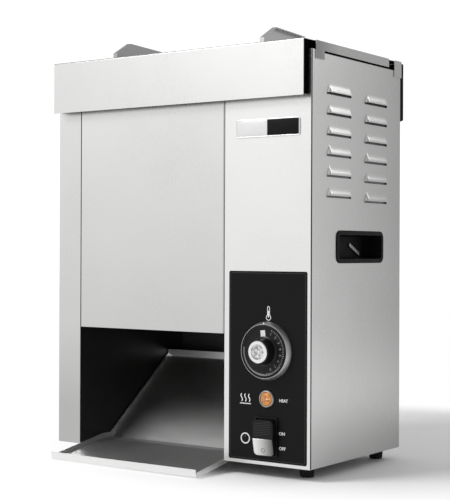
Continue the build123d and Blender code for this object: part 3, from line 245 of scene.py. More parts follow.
ALONG_X = (1, 30, 30)
ALONG_Z = (30, 30, 1)
STEEL_TINT = (1.0, 0.998, 0.992)
STEEL_LINES = 90.0
STEEL_MARKS = 6.0
STEEL_MOTTLE_SHARE = 0.03
STEEL_SCRATCH = 0.06
STEEL_RELIEF = 0.00001
STEEL_ROUGHNESS = 0.27
STEEL_GLOSS = (-0.04, 0.05)
STEEL_GLOSS_SPAN = (0.7, 1.3)


def steel(name, level, roughness=STEEL_ROUGHNESS, grain=ALONG_Z, painted_fades=()):
    """Brushed sheet: fine lines along one axis, faint handling marks and a soft sheen, with any painted
    light and shade from its painted fades.
    """
    shader = Shader(name)
    lines = shader.noise(STEEL_LINES, grain, PLAIN_DETAIL)
    marks = shader.noise(STEEL_MARKS, detail=RICH_DETAIL)
    tint = scaled(STEEL_TINT, level)
    shader.colour(marks, scaled(tint, 1 - STEEL_MOTTLE_SHARE), tint, painted_fades=painted_fades)
    both = combine(shader.tree, lines, marks, "ADD")
    shader.rough(both, near(roughness, STEEL_GLOSS), STEEL_GLOSS_SPAN)
    shader.bump(lines, STEEL_SCRATCH, STEEL_RELIEF)
    shader.set(Metallic=1.0)
    return shader.material


# Plastic and rubber

MOULDED_CLOUD = 30.0
MOULDED_GRAIN = 1400.0
MOULDED_LIGHT_SHARE = 1.5
MOULDED_GLOSS = (-0.05, 0.08)
MOULDED_STRENGTH = 0.35
MOULDED_RELIEF = 0.00003
MOULDED_SHEEN = 0.3


def moulded(name, base, roughness, grain=MOULDED_GRAIN, relief=MOULDED_RELIEF, sheen=MOULDED_SHEEN):
    """Moulded plastic or rubber with a fine texture and a slightly uneven gloss."""
    shader = Shader(name)
    fine = shader.noise(grain, detail=PLAIN_DETAIL)
    cloud = shader.noise(MOULDED_CLOUD)
    shader.colour(cloud, base, scaled(base, MOULDED_LIGHT_SHARE))
    shader.rough(cloud, near(roughness, MOULDED_GLOSS))
    shader.bump(fine, MOULDED_STRENGTH, relief)
    shader.set(Specular_IOR_Level=sheen)
    return shader.material


# Cast metal

CAST_PEBBLE = 420.0
CAST_CLOUD = 18.0
CAST_DARK_SHARE = 0.8
CAST_GLOSS = (-0.08, 0.08)
CAST_STRENGTH = 0.5
CAST_RELIEF = 0.00012


def cast(name, base, roughness):
    """Cast metal with a pebbled skin."""
    shader = Shader(name)
    pebble = shader.noise(CAST_PEBBLE, detail=RICH_DETAIL)
    cloud = shader.noise(CAST_CLOUD)
    shader.colour(cloud, scaled(base, CAST_DARK_SHARE), base)
    shader.rough(cloud, near(roughness, CAST_GLOSS))
    shader.bump(pebble, CAST_STRENGTH, CAST_RELIEF)
    shader.set(Metallic=1.0)
    return shader.material


# Plated trim

POLISH_MARKS = 160.0
POLISH_STRETCH = (1, 1, 6)
POLISH_DARK_SHARE = 0.94
POLISH_GLOSS = (-0.03, 0.06)


def polished(name, level, roughness):
    """Bright plated trim with faint polishing marks."""
    shader = Shader(name)
    marks = shader.noise(POLISH_MARKS, POLISH_STRETCH, RICH_DETAIL)
    shader.colour(marks, level * POLISH_DARK_SHARE, level)
    shader.rough(marks, near(roughness, POLISH_GLOSS))
    shader.set(Metallic=1.0)
    return shader.material


# Cast relief on the dial's cap

EMBLEM_SHAPE = 210.0
EMBLEM_SPAN = (0.4, 0.6)
EMBLEM_GLOSS = (0.3, 0.4)
EMBLEM_STRENGTH = 0.6
EMBLEM_RELIEF = 0.0008


def emblem(name, low, high):
    """Plated metal with a coarse cast relief, bare of any sign."""
    shader = Shader(name)
    shape = shader.noise(EMBLEM_SHAPE, detail=PLAIN_DETAIL)
    shader.colour(shape, low, high, EMBLEM_SPAN)
    shader.rough(shape, EMBLEM_GLOSS)
    shader.bump(shape, EMBLEM_STRENGTH, EMBLEM_RELIEF)
    shader.set(Metallic=1.0)
    return shader.material


# Dark film of the controls

FILM_PEEL = 260.0
FILM_CLOUD = 9.0
FILM_LIGHT_SHARE = 1.3
FILM_GLOSS = (0.3, 0.38)
FILM_STRENGTH = 0.08
FILM_RELIEF = 0.00002
FILM_SHEEN = 0.1


def film(name, base):
    """Smooth dark film with the faintest orange peel."""
    shader = Shader(name)
    peel = shader.noise(FILM_PEEL, detail=PLAIN_DETAIL)
    cloud = shader.noise(FILM_CLOUD)
    shader.colour(cloud, base, scaled(base, FILM_LIGHT_SHARE))
    shader.rough(peel, FILM_GLOSS)
    shader.bump(peel, FILM_STRENGTH, FILM_RELIEF)
    shader.set(Specular_IOR_Level=FILM_SHEEN)
    return shader.material


# Ink

INK_GRAIN = 2200.0
INK_DARK_SHARE = 0.92
INK_GLOSS = (0.45, 0.55)
INK_SHEEN = 0.2


def printed(name, level):
    """Screen-printed ink."""
    shader = Shader(name)
    grain = shader.noise(INK_GRAIN)
    shader.colour(grain, level * INK_DARK_SHARE, level)
    shader.rough(grain, INK_GLOSS)
    shader.set(Specular_IOR_Level=INK_SHEEN)
    return shader.material


# Lens of the pilot lamp

LENS_CLOUD = 240.0
LENS_DARK = (0.26, 0.07, 0.01)
LENS_LIGHT = (0.7, 0.3, 0.06)
LENS_GLOSS = (0.1, 0.2)
LENS_GLOW = (1.0, 0.42, 0.08)
LENS_GLOW_STRENGTH = 0.06
LENS_COAT = 0.4


def amber(name):
    """Tinted lens that glows a little from the lamp behind it."""
    shader = Shader(name)
    cloud = shader.noise(LENS_CLOUD, detail=PLAIN_DETAIL)
    shader.colour(cloud, LENS_DARK, LENS_LIGHT)
    shader.rough(cloud, LENS_GLOSS)
    shader.set(Emission_Color=as_colour(LENS_GLOW), Emission_Strength=LENS_GLOW_STRENGTH)
    shader.set(Coat_Weight=LENS_COAT)
    return shader.material


# Materials by slot

MATERIALS = {
    "stainless": steel("stainless", level=0.66),
    "feeder_steel": steel("feeder_steel", level=0.44, roughness=0.34, grain=ALONG_X),
    "chute_steel": steel("chute_steel", level=0.84, roughness=0.36, grain=ALONG_X),
    "chassis_steel": steel("chassis_steel", level=0.08, roughness=0.42),
    "cast_platen": cast("cast_platen", base=(0.1, 0.1, 0.1), roughness=0.5),
    "element_sheath": cast("element_sheath", base=(0.1, 0.08, 0.07), roughness=0.5),
    "release_film": moulded("release_film", base=(0.06, 0.035, 0.02), roughness=0.4, grain=900.0),
    "copper_sensor": polished("copper_sensor", level=0.4, roughness=0.25),
    "roller_metal": steel("roller_metal", level=0.12, roughness=0.35, grain=ALONG_X),
    "belt_wire": steel("belt_wire", level=0.08, roughness=0.36, grain=ALONG_X),
    "bronze_bush": cast("bronze_bush", base=(0.3, 0.2, 0.1), roughness=0.45),
    "drive_steel": steel("drive_steel", level=0.2, roughness=0.35, grain=ALONG_X),
    "gearmotor_cast": cast("gearmotor_cast", base=(0.1, 0.1, 0.105), roughness=0.5),
    "screw_steel": polished("screw_steel", level=0.7, roughness=0.22),
    "black_rubber": moulded(
        "black_rubber", base=(0.01, 0.01, 0.01), roughness=0.65, grain=900.0, sheen=0.15
    ),
    "black_plastic": moulded("black_plastic", base=(0.0055, 0.0055, 0.0055), roughness=0.4, sheen=0.18),
    "dial_plastic": moulded(
        "dial_plastic", base=(0.005, 0.005, 0.005), roughness=0.28, grain=2000.0, relief=0.00001, sheen=0.2
    ),
    "overlay_film": film("overlay_film", base=(0.0045, 0.0045, 0.0047)),
    "badge_metal": polished("badge_metal", level=0.74, roughness=0.2),
    "bright_trim": polished("bright_trim", level=0.82, roughness=0.22),
    "amber_lens": amber("amber_lens"),
    "phenolic": moulded("phenolic", base=(0.05, 0.03, 0.02), roughness=0.4),
    "terminal_white": moulded("terminal_white", base=(0.6, 0.58, 0.52), roughness=0.45),
    "red_button": moulded("red_button", base=(0.45, 0.015, 0.012), roughness=0.25),
}

# Materials of single pieces and faces
INK = printed("white_ink", level=0.72)
TICK_INK = printed("tick_ink", level=0.4)
ARC_INK = printed("arc_ink", level=0.2)
DIM_INK = printed("grey_ink", level=0.14)
FAINT_INK = printed("faint_ink", level=0.03)
CREAM = moulded("cream_ring", base=(0.38, 0.34, 0.27), roughness=0.35)
# Near-black for painted shadow in gaps and under edges
PAINTED_SHADOW = moulded("painted_shadow_black", base=(0.002, 0.002, 0.002), roughness=0.8, sheen=0.0)
# Painted shade for the rear panel's inner side
SHADE = steel("shaded_steel", level=0.1, roughness=0.4)
SATIN = steel("satin_ring", level=0.5, roughness=0.34, grain=ALONG_X)
SCREEN = steel("screen_steel", level=0.24, roughness=0.42)
RELIEF = emblem("relief_metal", low=0.24, high=0.66)

# Nodes whose sheet or plastic differs from their slot's; several are lighter or darker copies of the steel
# as painted light and shade, some with a slow change along an axis
FLANGE_SHADE_REACH = 0.07
PADDLE_LIT = 0.004


def upwards(low_share, high_share, levels):
    """A fade between two heights, as shares of the panels' height."""
    height = TOP - BASE
    return ("Z", (BASE + low_share * height, BASE + high_share * height), levels)


def rightwards(levels):
    """A fade from the cabinet's left face to its right face."""
    return ("X", (LEFT_FACE, RIGHT_FACE), levels)


# Painted shade low on the post, and painted light higher up
POST_PAINTED_SHADING = (upwards(0.1, 0.32, levels=(0.72, 0.9)), upwards(0.3, 0.9, levels=(0.98, 1.06)))
# Painted shade: the door darker towards the bottom
DOOR_PAINTED_SHADE = (upwards(0.3, 0.85, levels=(0.87, 1.0)),)
# Painted light and shade: the side brighter at the front, darker towards the rear and low down
SIDE_PAINTED_SHADING = (("Y", (FRONT, REAR), (1.18, 0.76)), upwards(0.0, 0.45, levels=(0.84, 1.0)))
# Painted light: the lid brighter towards the right
SKIRT_PAINTED_LIGHT = (rightwards(levels=(0.96, 1.1)),)
# Painted light and shade: the feeder ends darker at the left, brighter at the right
EAR_PAINTED_SHADING = (rightwards(levels=(0.72, 1.2)),)
# Painted shade: the paddle darker towards its right side
PADDLE_PAINTED_SHADE = (("X", (PADDLE[0].x + PADDLE_LIT, PADDLE[1].x), (1.0, 0.14)),)
# Painted shade: the lid's right flange darker towards its front
FLANGE_SHADE_FADES = (("Y", (FRONT, FRONT + FLANGE_SHADE_REACH), (0.5, 1.0)),)

FINISHES = {
    "left_side_panel": steel("post_steel_painted_shading", level=0.67, painted_fades=POST_PAINTED_SHADING),
    "front_cover": steel("door_steel_painted_shade", level=0.66, painted_fades=DOOR_PAINTED_SHADE),
    # Painted light: the column is a brighter copy of the stainless
    "control_panel": steel("column_steel_painted_light", level=0.74),
    "right_side_panel": steel("side_steel_painted_shading", level=0.68, painted_fades=SIDE_PAINTED_SHADING),
    "lamp_bezel": steel("lamp_ring", level=0.3, roughness=0.4, grain=ALONG_X),
    "top_cover": steel("skirt_steel_painted_light", level=0.66, painted_fades=SKIRT_PAINTED_LIGHT),
    "feeder_ends": steel("ear_steel_painted_shading", level=0.44, roughness=0.34, painted_fades=EAR_PAINTED_SHADING),
    "rocker_paddle": steel("paddle_steel_painted_shade", level=0.84, roughness=0.3, painted_fades=PADDLE_PAINTED_SHADE),
    # Painted shade: the base pan is a darker copy of the steel, for the shade under the cabinet
    "base_pan": steel("pan_steel_painted_shade", level=0.2, roughness=0.4),
    "pocket_clips": steel("clip_steel", level=0.4, roughness=0.35),
    "handle_pockets": moulded("pocket_plastic", base=(0.003, 0.003, 0.003), roughness=0.45, sheen=0.1),
}
# Painted shade for the lid's right flange and the fold line along its front's upper edge
FLANGE_PAINTED_SHADE = steel("flange_steel_painted_shade", level=0.5, painted_fades=FLANGE_SHADE_FADES)


# Pieces

SMOOTH_ANGLE = 32.0
SHARP_ANGLE = 30.0
FLAT_ANGLE = 1.0
FLAT_WEIGHT = 100
MERGE_DISTANCE = 0.00001
ROUND_SEGMENTS = 2
SOFT_SEGMENTS = 3
ROUND_PROFILE = 0.5


def slot_of(node):
    """The record's material slot of a node."""
    return next(row["material_slot"] for row in frame["record"]["subparts"] if row["node"] == node)


def body_of(node):
    """The CAD body that a node belongs to."""
    groups = frame["record"]["behaviour"]["bodies"]
    return next(body for body, members in groups.items() if node in members)


def finish_of(node):
    """A node's own finish, or its slot's."""
    return FINISHES.get(node) or MATERIALS[slot_of(node)]


def dress_nodes():
    """Gives every carried-over CAD node its material."""
    for row in frame["record"]["subparts"]:
        node = frame["nodes"][row["node"]]
        node.data.materials.clear()
        node.data.materials.append(finish_of(row["node"]))


def link_piece(name, mesh, body, slot, material=None):
    """A new piece on a body, with its own material or its slot's."""
    piece = bpy.data.objects.new(name, mesh)
    bpy.context.scene.collection.objects.link(piece)
    mesh.materials.append(material or MATERIALS[slot])
    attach(piece, body)
    return piece


def smooth_by_angle(mesh):
    """Smooth shading with sharp edges where faces meet at more than an angle."""
    mesh.polygons.foreach_set("use_smooth", [True] * len(mesh.polygons))
    mesh.set_sharp_from_angle(angle=math.radians(SMOOTH_ANGLE))


def piece_from(work, name, body, slot, material=None):
    """The finished bmesh as a piece."""
    mesh = bpy.data.meshes.new(name)
    work.to_mesh(mesh)
    work.free()
    smooth_by_angle(mesh)
    return link_piece(name, mesh, body, slot, material)


def shell_of(node):
    """A CAD node's form with its triangles merged into whole faces."""
    work = bmesh.new()
    work.from_mesh(frame["nodes"][node].data)
    bmesh.ops.remove_doubles(work, verts=work.verts, dist=MERGE_DISTANCE)
    flat = math.radians(FLAT_ANGLE)
    bmesh.ops.dissolve_limit(work, angle_limit=flat, verts=work.verts, edges=work.edges)
    for edge in work.edges:
        edge.smooth = True
    return work


def bevel(work, edges, width, segments):
    """Rounds edges of a bmesh."""
    bmesh.ops.bevel(
        work,
        geom=edges,
        offset=width,
        offset_type="OFFSET",
        segments=segments,
        profile=ROUND_PROFILE,
        affect="EDGES",
        clamp_overlap=True,
    )


def round_edges(work, width, segments=ROUND_SEGMENTS, angle=SHARP_ANGLE, test=None):
    """Rounds the edges that are sharper than an angle, and that pass a test."""
    limit = math.radians(angle)
    chosen = [
        edge
        for edge in work.edges
        if edge.is_manifold and edge.calc_face_angle(0) > limit and (test is None or test(edge))
    ]
    if chosen:
        bevel(work, chosen, width, segments)


def cut_across(work, at, normal):
    """Cuts the faces of a bmesh along a plane."""
    geometry = list(work.verts) + list(work.edges) + list(work.faces)
    bmesh.ops.bisect_plane(work, geom=geometry, plane_co=at, plane_no=normal)


def stand_for(work, node):
    """The bmesh as a piece that stands for a CAD node."""
    piece = piece_from(work, node + "_shell", body_of(node), slot_of(node), finish_of(node))
    flat = piece.modifiers.new("flat_faces", "WEIGHTED_NORMAL")
    flat.keep_sharp = True
    flat.weight = FLAT_WEIGHT
    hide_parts(node)
    return piece


def refined(node, width, segments=ROUND_SEGMENTS):
    """A copy of a CAD node with its edges rounded, standing for it."""
    work = shell_of(node)
    round_edges(work, width, segments)
    return stand_for(work, node)


def paint(piece, material, test):
    """A second material on the faces that pass a test of centre and normal."""
    piece.data.materials.append(material)
    index = len(piece.data.materials) - 1
    for face in piece.data.polygons:
        if test(face.center, face.normal):
            face.material_index = index


def bar(name, low, high, body, slot, edge, material=None):
    """A bar with rounded edges between two corners."""
    work = bmesh.new()
    bmesh.ops.create_cube(work, size=1.0)
    bmesh.ops.scale(work, verts=work.verts, vec=Vector(high) - Vector(low))
    bmesh.ops.translate(work, verts=work.verts, vec=(Vector(high) + Vector(low)) / 2)
    bevel(work, list(work.edges), edge, SOFT_SEGMENTS)
    return piece_from(work, name, body, slot, material)


def distance_from(centre, point):
    """How far a point lies from a front-to-rear axis."""
    return math.hypot(point.x - centre.x, point.z - centre.z)


# Camera, floor and light


def add_camera():
    """The photograph's viewpoint, from the cabinet's own front."""
    azimuth, pitch, roll = (math.radians(v) for v in (CAMERA_AZIMUTH, CAMERA_PITCH, CAMERA_ROLL))
    level = math.cos(pitch)
    ahead = Vector((-math.sin(azimuth) * level, math.cos(azimuth) * level, -math.sin(pitch)))
    across = Vector((math.cos(azimuth), math.sin(azimuth), 0))
    up = across.cross(ahead)
    right = across * math.cos(roll) + up * math.sin(roll)
    upright = up * math.cos(roll) - across * math.sin(roll)
    data = bpy.data.cameras.new("photo_camera")
    data.sensor_width = SENSOR
    data.lens = CAMERA_LENS
    camera = bpy.data.objects.new("photo_camera", data)
    bpy.context.scene.collection.objects.link(camera)
    turn = Matrix((right, upright, -ahead)).transposed().to_4x4()
    at = Vector((CENTRE, FRONT, BASE)) + Vector(CAMERA_AT) * MM
    camera.matrix_world = Matrix.Translation(at) @ turn
    bpy.context.scene.camera = camera


def background_rays(tree):
    """1 for rays that see the background: camera, glossy and transmission rays."""
    path = tree.nodes.new("ShaderNodeLightPath")
    seen = combine(tree, path.outputs["Is Camera Ray"], path.outputs["Is Glossy Ray"], "MAXIMUM")
    return combine(tree, seen, path.outputs["Is Transmission Ray"], "MAXIMUM")


def background_share(shader):
    """How far the floor has turned into the background, from 0 near the object to 1 further out."""
    away = shader.node("ShaderNodeVectorMath", operation="DISTANCE")
    away.inputs[1].default_value = FLOOR_DARK_AT
    shader.link(shader.place(), away.inputs[0])
    fade = map_range(shader.tree, away.outputs["Value"], FLOOR_FADE, (0, 1))
    return combine(shader.tree, fade, background_rays(shader.tree))


def floor_paint():
    """Pale paint that turns into the background further out, dimmer at the right like the studio."""
    shader = Shader("floor_paint")
    cloud = shader.noise(FLOOR_CLOUD)
    shader.colour(cloud, FLOOR_LEVEL - FLOOR_MOTTLE, FLOOR_LEVEL)
    shader.rough(cloud, FLOOR_GLOSS)
    shader.set(Specular_IOR_Level=FLOOR_SHEEN)
    split = shader.node("ShaderNodeSeparateXYZ")
    shader.link(shader.place(), split.inputs["Vector"])
    white = shader.node("ShaderNodeEmission")
    level = map_range(shader.tree, split.outputs["X"], FLOOR_RIGHT, (1, STUDIO_SIDES[1]))
    shader.link(level, white.inputs["Strength"])
    mix = shader.node("ShaderNodeMixShader")
    shader.link(background_share(shader), mix.inputs[0])
    shader.link(shader.bsdf.outputs[0], mix.inputs[1])
    shader.link(white.outputs[0], mix.inputs[2])
    shader.link(mix.outputs[0], shader.tree.nodes["Material Output"].inputs["Surface"])
    return shader.material


def add_floor():
    """A wide floor that keeps the object's shadow."""
    work = bmesh.new()
    bmesh.ops.create_circle(work, cap_ends=True, radius=FLOOR_RADIUS, segments=FLOOR_SIDES)
    mesh = bpy.data.meshes.new("floor")
    work.to_mesh(mesh)
    work.free()
    mesh.materials.append(floor_paint())
    floor = bpy.data.objects.new("floor", mesh)
    bpy.context.scene.collection.objects.link(floor)


def add_world():
    """A soft studio: brightest at the left, dimmer towards the right and above."""
    world = bpy.data.worlds.new("studio")
    bpy.context.scene.world = world
    world.use_nodes = True
    tree = world.node_tree
    tree.nodes.clear()
    coord = tree.nodes.new("ShaderNodeTexCoord")
    split = tree.nodes.new("ShaderNodeSeparateXYZ")
    tree.links.new(coord.outputs["Generated"], split.inputs["Vector"])
    across = map_range(tree, split.outputs["X"], STUDIO_SPAN, STUDIO_SIDES)
    above = map_range(tree, split.outputs["Z"], STUDIO_RISE, STUDIO_HEIGHTS)
    studio = tree.nodes.new("ShaderNodeBackground")
    tree.links.new(combine(tree, across, above), studio.inputs["Strength"])
    studio.inputs["Color"].default_value = (1, 1, 1, 1)
    output = tree.nodes.new("ShaderNodeOutputWorld")
    tree.links.new(studio.outputs["Background"], output.inputs["Surface"])


def add_lamp(name, at, aim, size, power, seen=True):
    """A soft rectangular lamp at a point, aimed at another."""
    data = bpy.data.lights.new(name, "AREA")
    data.shape = "RECTANGLE"
    data.size, data.size_y = size
    data.energy = power
    lamp = bpy.data.objects.new(name, data)
    bpy.context.scene.collection.objects.link(lamp)
    lamp.location = at
    lamp.rotation_euler = (Vector(aim) - Vector(at)).to_track_quat("-Z", "Y").to_euler()
    lamp.visible_camera = seen


def add_light():
    """A large key lamp high at the front left and a weak one behind at the right."""
    add_lamp("key_lamp", KEY_AT, KEY_AIM, KEY_SIZE, KEY_POWER)
    add_lamp("rim_lamp", RIM_AT, RIM_AIM, RIM_SIZE, RIM_POWER, seen=False)


def set_view():
    """Plain view settings."""
    bpy.context.scene.view_settings.view_transform = "Standard"


# Front panels and rear panel

SHEET_EDGE = 0.0003
SHEET_SEGMENTS = 1
FOLD_EDGE = 0.0009
FOLD_LENGTH = 0.02
STEEP_ANGLE = 60.0
SAME_PLANE = 0.00002
FACING = 0.9
SOFT_PANELS = ("left_side_panel", "front_cover", "control_panel")


def faces_right(centre, normal):
    """Whether a face looks to the right."""
    return normal.x > FACING


def faces_front(centre, normal):
    """Whether a face looks to the front."""
    return normal.y < -FACING


def fold_test(front):
    """A test for the long edges that lie in a panel's front face."""

    def is_fold(edge):
        start, end = (vert.co for vert in edge.verts)
        off_face = max(abs(start.y - front), abs(end.y - front))
        return off_face < SAME_PLANE and (start - end).length > FOLD_LENGTH

    return is_fold


def folded_panels():
    """The front's panels with soft folds. The cover's right edge, inside its gap, is painted black as the
    gap's shadow.
    """
    for node in SOFT_PANELS:
        work = shell_of(node)
        round_edges(work, FOLD_EDGE, SOFT_SEGMENTS, test=fold_test(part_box(node)[0].y))
        round_edges(work, SHEET_EDGE, SHEET_SEGMENTS, STEEP_ANGLE)
        piece = stand_for(work, node)
        if node == "front_cover":
            # Painted shadow: the door's right edge faces inside the gap are black
            paint(piece, PAINTED_SHADOW, faces_right)


def rear_sheet():
    """The rear panel, with painted shade on its inner side."""
    paint(refined("rear_panel", SHEET_EDGE), SHADE, faces_front)


# Right side panel

HOOD_EDGE = 0.0018
HOOD_SEGMENTS = 4
HOOD_ANGLE = 8.0
HOOD_START = 0.0006
HOOD_LIP = 0.7
PRESSED = RIGHT_FACE + HOOD_START
SHADOW_STRIP_EDGE = 0.0006
CORNER_DEPTH = 0.0024
CORNER_INSET = 0.00005
CORNER_REACH = 0.0026
SCREEN_FRONT = 0.0022
SCREEN_BACK = 0.003
SCREEN_MARGIN = 0.003


def is_hood(edge):
    """Whether an edge is on a louvre's hood, away from its mouth."""
    outside = max(vert.co.x for vert in edge.verts) > PRESSED
    at_mouth = min(face.normal.z for face in edge.link_faces) < -HOOD_LIP
    return outside and not at_mouth


def is_flat_sheet(edge):
    """Whether an edge is on the unpressed part of the side panel."""
    return max(vert.co.x for vert in edge.verts) < PRESSED


def right_panel():
    """The louvred side with soft pressed hoods."""
    work = shell_of("right_side_panel")
    round_edges(work, HOOD_EDGE, HOOD_SEGMENTS, HOOD_ANGLE, is_hood)
    round_edges(work, SHEET_EDGE, SHEET_SEGMENTS, STEEP_ANGLE, is_flat_sheet)
    stand_for(work, "right_side_panel")


def corner_seal():
    """A black strip standing in for the shadow in the gap of the right front corner."""
    front = RIGHT_PANEL[0].y
    low = (RIGHT_FACE - CORNER_DEPTH, front - SHEET_EDGE, BASE + SHEET_EDGE)
    high = (RIGHT_FACE - CORNER_INSET, front + CORNER_REACH, RIGHT_PANEL[1].z - SHEET_EDGE)
    bar("corner_seal", low, high, ROOM, "black_rubber", SHADOW_STRIP_EDGE, PAINTED_SHADOW)


def louvre_screen():
    """A thin sheet behind the louvres."""
    mesh = frame["nodes"]["right_side_panel"].data
    hoods = [vert.co for vert in mesh.vertices if vert.co.x > PRESSED]
    across = [point.y for point in hoods]
    up = [point.z for point in hoods]
    low = (RIGHT_FACE - SCREEN_BACK, min(across) - SCREEN_MARGIN, min(up) - SCREEN_MARGIN)
    high = (RIGHT_FACE - SCREEN_FRONT, max(across) + SCREEN_MARGIN, max(up) + SCREEN_MARGIN)
    bar("louvre_screen", low, high, ROOM, "chassis_steel", SHEET_EDGE, SCREEN)


# Lid

LID_EDGE = 0.00045
LID_FOLD = 0.0017
FOLD_LINE = LID[1].z - LID_FOLD
FLANGE_START = 0.0001
FLANGE_FACING = 0.7
SKIRT_HALF = 0.221
# Black strip under the right flange, standing in for its shadow line
LID_SHADOW_FRONT = 0.0325
LID_SHADOW_REAR = 0.0225
LID_SHADOW_DROP = 0.0024
LID_SHADOW_DEPTH = 0.001
LID_SHADOW_EDGE = 0.0002
# Black blocks at the front skirt's ends, as painted shade
SKIRT_SHADE_SPAN = (-0.004, -0.001)
SKIRT_SHADE_FRONT = 0.0012
SKIRT_SHADE_REAR = 0.0006
SKIRT_SHADE_DROP = 0.0605
SKIRT_SHADE_RISE = 0.0114
# Black blocks on the rear skirt's ends, as painted shade
REAR_SHADE_SPAN = (-0.002, 0.004)
REAR_SHADE_FRONT = 0.0018
REAR_SHADE_LIFT = 0.0004
REAR_SHADE_RISE = 0.0105
REAR_SHADE_EDGE = 0.0022


def is_dull(centre, normal):
    """Whether a face of the lid is on its right flange, or above the fold line of its front."""
    on_flange = abs(normal.x) > FLANGE_FACING and centre.x > RIGHT_FACE + FLANGE_START
    on_fold = centre.z > FOLD_LINE and centre.y < LID[0].y + LID_FOLD and normal.z < FACING
    return on_flange or on_fold


def lid_sheet():
    """The lid, with painted shade on its right flange and along its front's upper edge."""
    work = shell_of("top_cover")
    cut_across(work, (0, 0, FOLD_LINE), (0, 0, 1))
    round_edges(work, LID_EDGE)
    paint(stand_for(work, "top_cover"), FLANGE_PAINTED_SHADE, is_dull)


def lid_seal():
    """A black strip under the right flange, standing in for the shadow line beneath it."""
    low = (RIGHT_FACE, FRONT + LID_SHADOW_FRONT, TOP - LID_SHADOW_DROP)
    high = (RIGHT_FACE + LID_SHADOW_DEPTH, REAR - LID_SHADOW_REAR, TOP)
    bar("lid_seal", low, high, "lid", "black_rubber", LID_SHADOW_EDGE, PAINTED_SHADOW)


def skirt_span(side, span):
    """Two places across, measured outwards from the skirt's end on a side."""
    end = CENTRE + side * SKIRT_HALF
    return sorted(end + side * reach for reach in span)


def skirt_ends():
    """Black blocks in the open ends of the front skirt and on the ends of the rear one, standing in for the
    shade there.
    """
    for side in (-1, 1):
        inner, outer = skirt_span(side, SKIRT_SHADE_SPAN)
        low = (inner, LID[0].y + SKIRT_SHADE_FRONT, TOP - SKIRT_SHADE_DROP)
        high = (outer, FRONT - SKIRT_SHADE_REAR, TOP + SKIRT_SHADE_RISE)
        bar(f"skirt_end_shade_{side + 1}", low, high, "lid", "black_rubber", SHADOW_STRIP_EDGE, PAINTED_SHADOW)
        # Painted shade: black blocks on the rear skirt's ends
        inner, outer = skirt_span(side, REAR_SHADE_SPAN)
        low = (inner, REAR + REAR_SHADE_FRONT, LID[0].z + REAR_SHADE_LIFT)
        high = (outer, LID[1].y, TOP + REAR_SHADE_RISE)
        bar(f"rear_end_shade_{side + 1}", low, high, "lid", "black_rubber", REAR_SHADE_EDGE)


# Flat printed marks and lettering on a face that looks towards -Y

MARK_DEPTH = 0.00012
RAY_LEAD = 0.1
LETTER_RELIEF = 0.00006
LETTER_WEIGHT_SHARE = 0.025
FULL_TURN = 360
HALF_TURN = 180
QUARTER_TURN = 90


def ribbon(points, width, closed=False):
    """Faces of a flat line of a given width through points in the XZ plane."""
    work = bmesh.new()
    count = len(points)
    pairs = []
    for index, point in enumerate(points):
        before = points[index - 1] if closed or index else point
        after = points[(index + 1) % count] if closed or index < count - 1 else point
        along = (Vector(after) - Vector(before)).normalized()
        out = Vector((-along.y, along.x)) * width / 2
        places = [(point[0] + side * out.x, 0, point[1] + side * out.y) for side in (1, -1)]
        pairs.append([work.verts.new(place) for place in places])
    for index in range(count if closed else count - 1):
        start, end = pairs[index], pairs[(index + 1) % count]
        work.faces.new((start[0], end[0], end[1], start[1]))
    return work


def lay_on(work, piece):
    """Moves every point of a flat mark onto a piece's front."""
    mesh = piece.data
    tree = BVHTree.FromPolygons([v.co for v in mesh.vertices], [p.vertices for p in mesh.polygons])
    for vert in work.verts:
        start = Vector((vert.co.x, FRONT - RAY_LEAD, vert.co.z))
        hit = tree.ray_cast(start, Vector((0, 1, 0)))[0]
        if hit is not None:
            vert.co.y = hit.y


def finish_mark(work, name, at, body, material, depth=MARK_DEPTH, piece=None):
    """Places a flat mark, on a curved piece if one is given, and gives it its thickness."""
    bmesh.ops.translate(work, verts=work.verts, vec=at)
    if piece:
        lay_on(work, piece)
    solid = bmesh.ops.extrude_face_region(work, geom=list(work.faces))
    lifted = [item for item in solid["geom"] if isinstance(item, bmesh.types.BMVert)]
    bmesh.ops.translate(work, verts=lifted, vec=(0, -depth, 0))
    bmesh.ops.recalc_face_normals(work, faces=work.faces)
    return piece_from(work, name, body, "overlay_film", material)


def arc_points(radius, start, end, steps, centre=(0, 0)):
    """Points along an arc, with angles in degrees from the right, anticlockwise."""
    angles = [math.radians(start + (end - start) * step / steps) for step in range(steps + 1)]
    return [(centre[0] + radius * math.cos(a), centre[1] + radius * math.sin(a)) for a in angles]


def ring_points(radius, sides):
    """Points of a full circle."""
    return arc_points(radius, 0, FULL_TURN, sides)[:-1]


def on_film(x, z):
    """A place on the control film."""
    return Vector((x, FILM[0].y, z))


def lettering(words, name, at, height, body, material, turn=0.0, align="CENTER"):
    """Raised lettering on a front-facing surface, as a mesh."""
    curve = bpy.data.curves.new(name + "_curve", "FONT")
    curve.body = words
    curve.size = height
    curve.align_x = align
    curve.align_y = "CENTER"
    curve.extrude = LETTER_RELIEF
    curve.offset = height * LETTER_WEIGHT_SHARE
    holder = bpy.data.objects.new(name + "_curve", curve)
    bpy.context.scene.collection.objects.link(holder)
    bpy.context.view_layer.update()
    mesh = bpy.data.meshes.new_from_object(holder.evaluated_get(bpy.context.evaluated_depsgraph_get()))
    bpy.data.objects.remove(holder)
    mesh.name = name
    mesh.materials.clear()
    upright = Matrix.Rotation(math.radians(QUARTER_TURN), 4, "X")
    mesh.transform(Matrix.Translation(at) @ Matrix.Rotation(math.radians(turn), 4, "Y") @ upright)
    return link_piece(name, mesh, body, "overlay_film", material)


# Turned pieces

LATHE_SIDES = 96


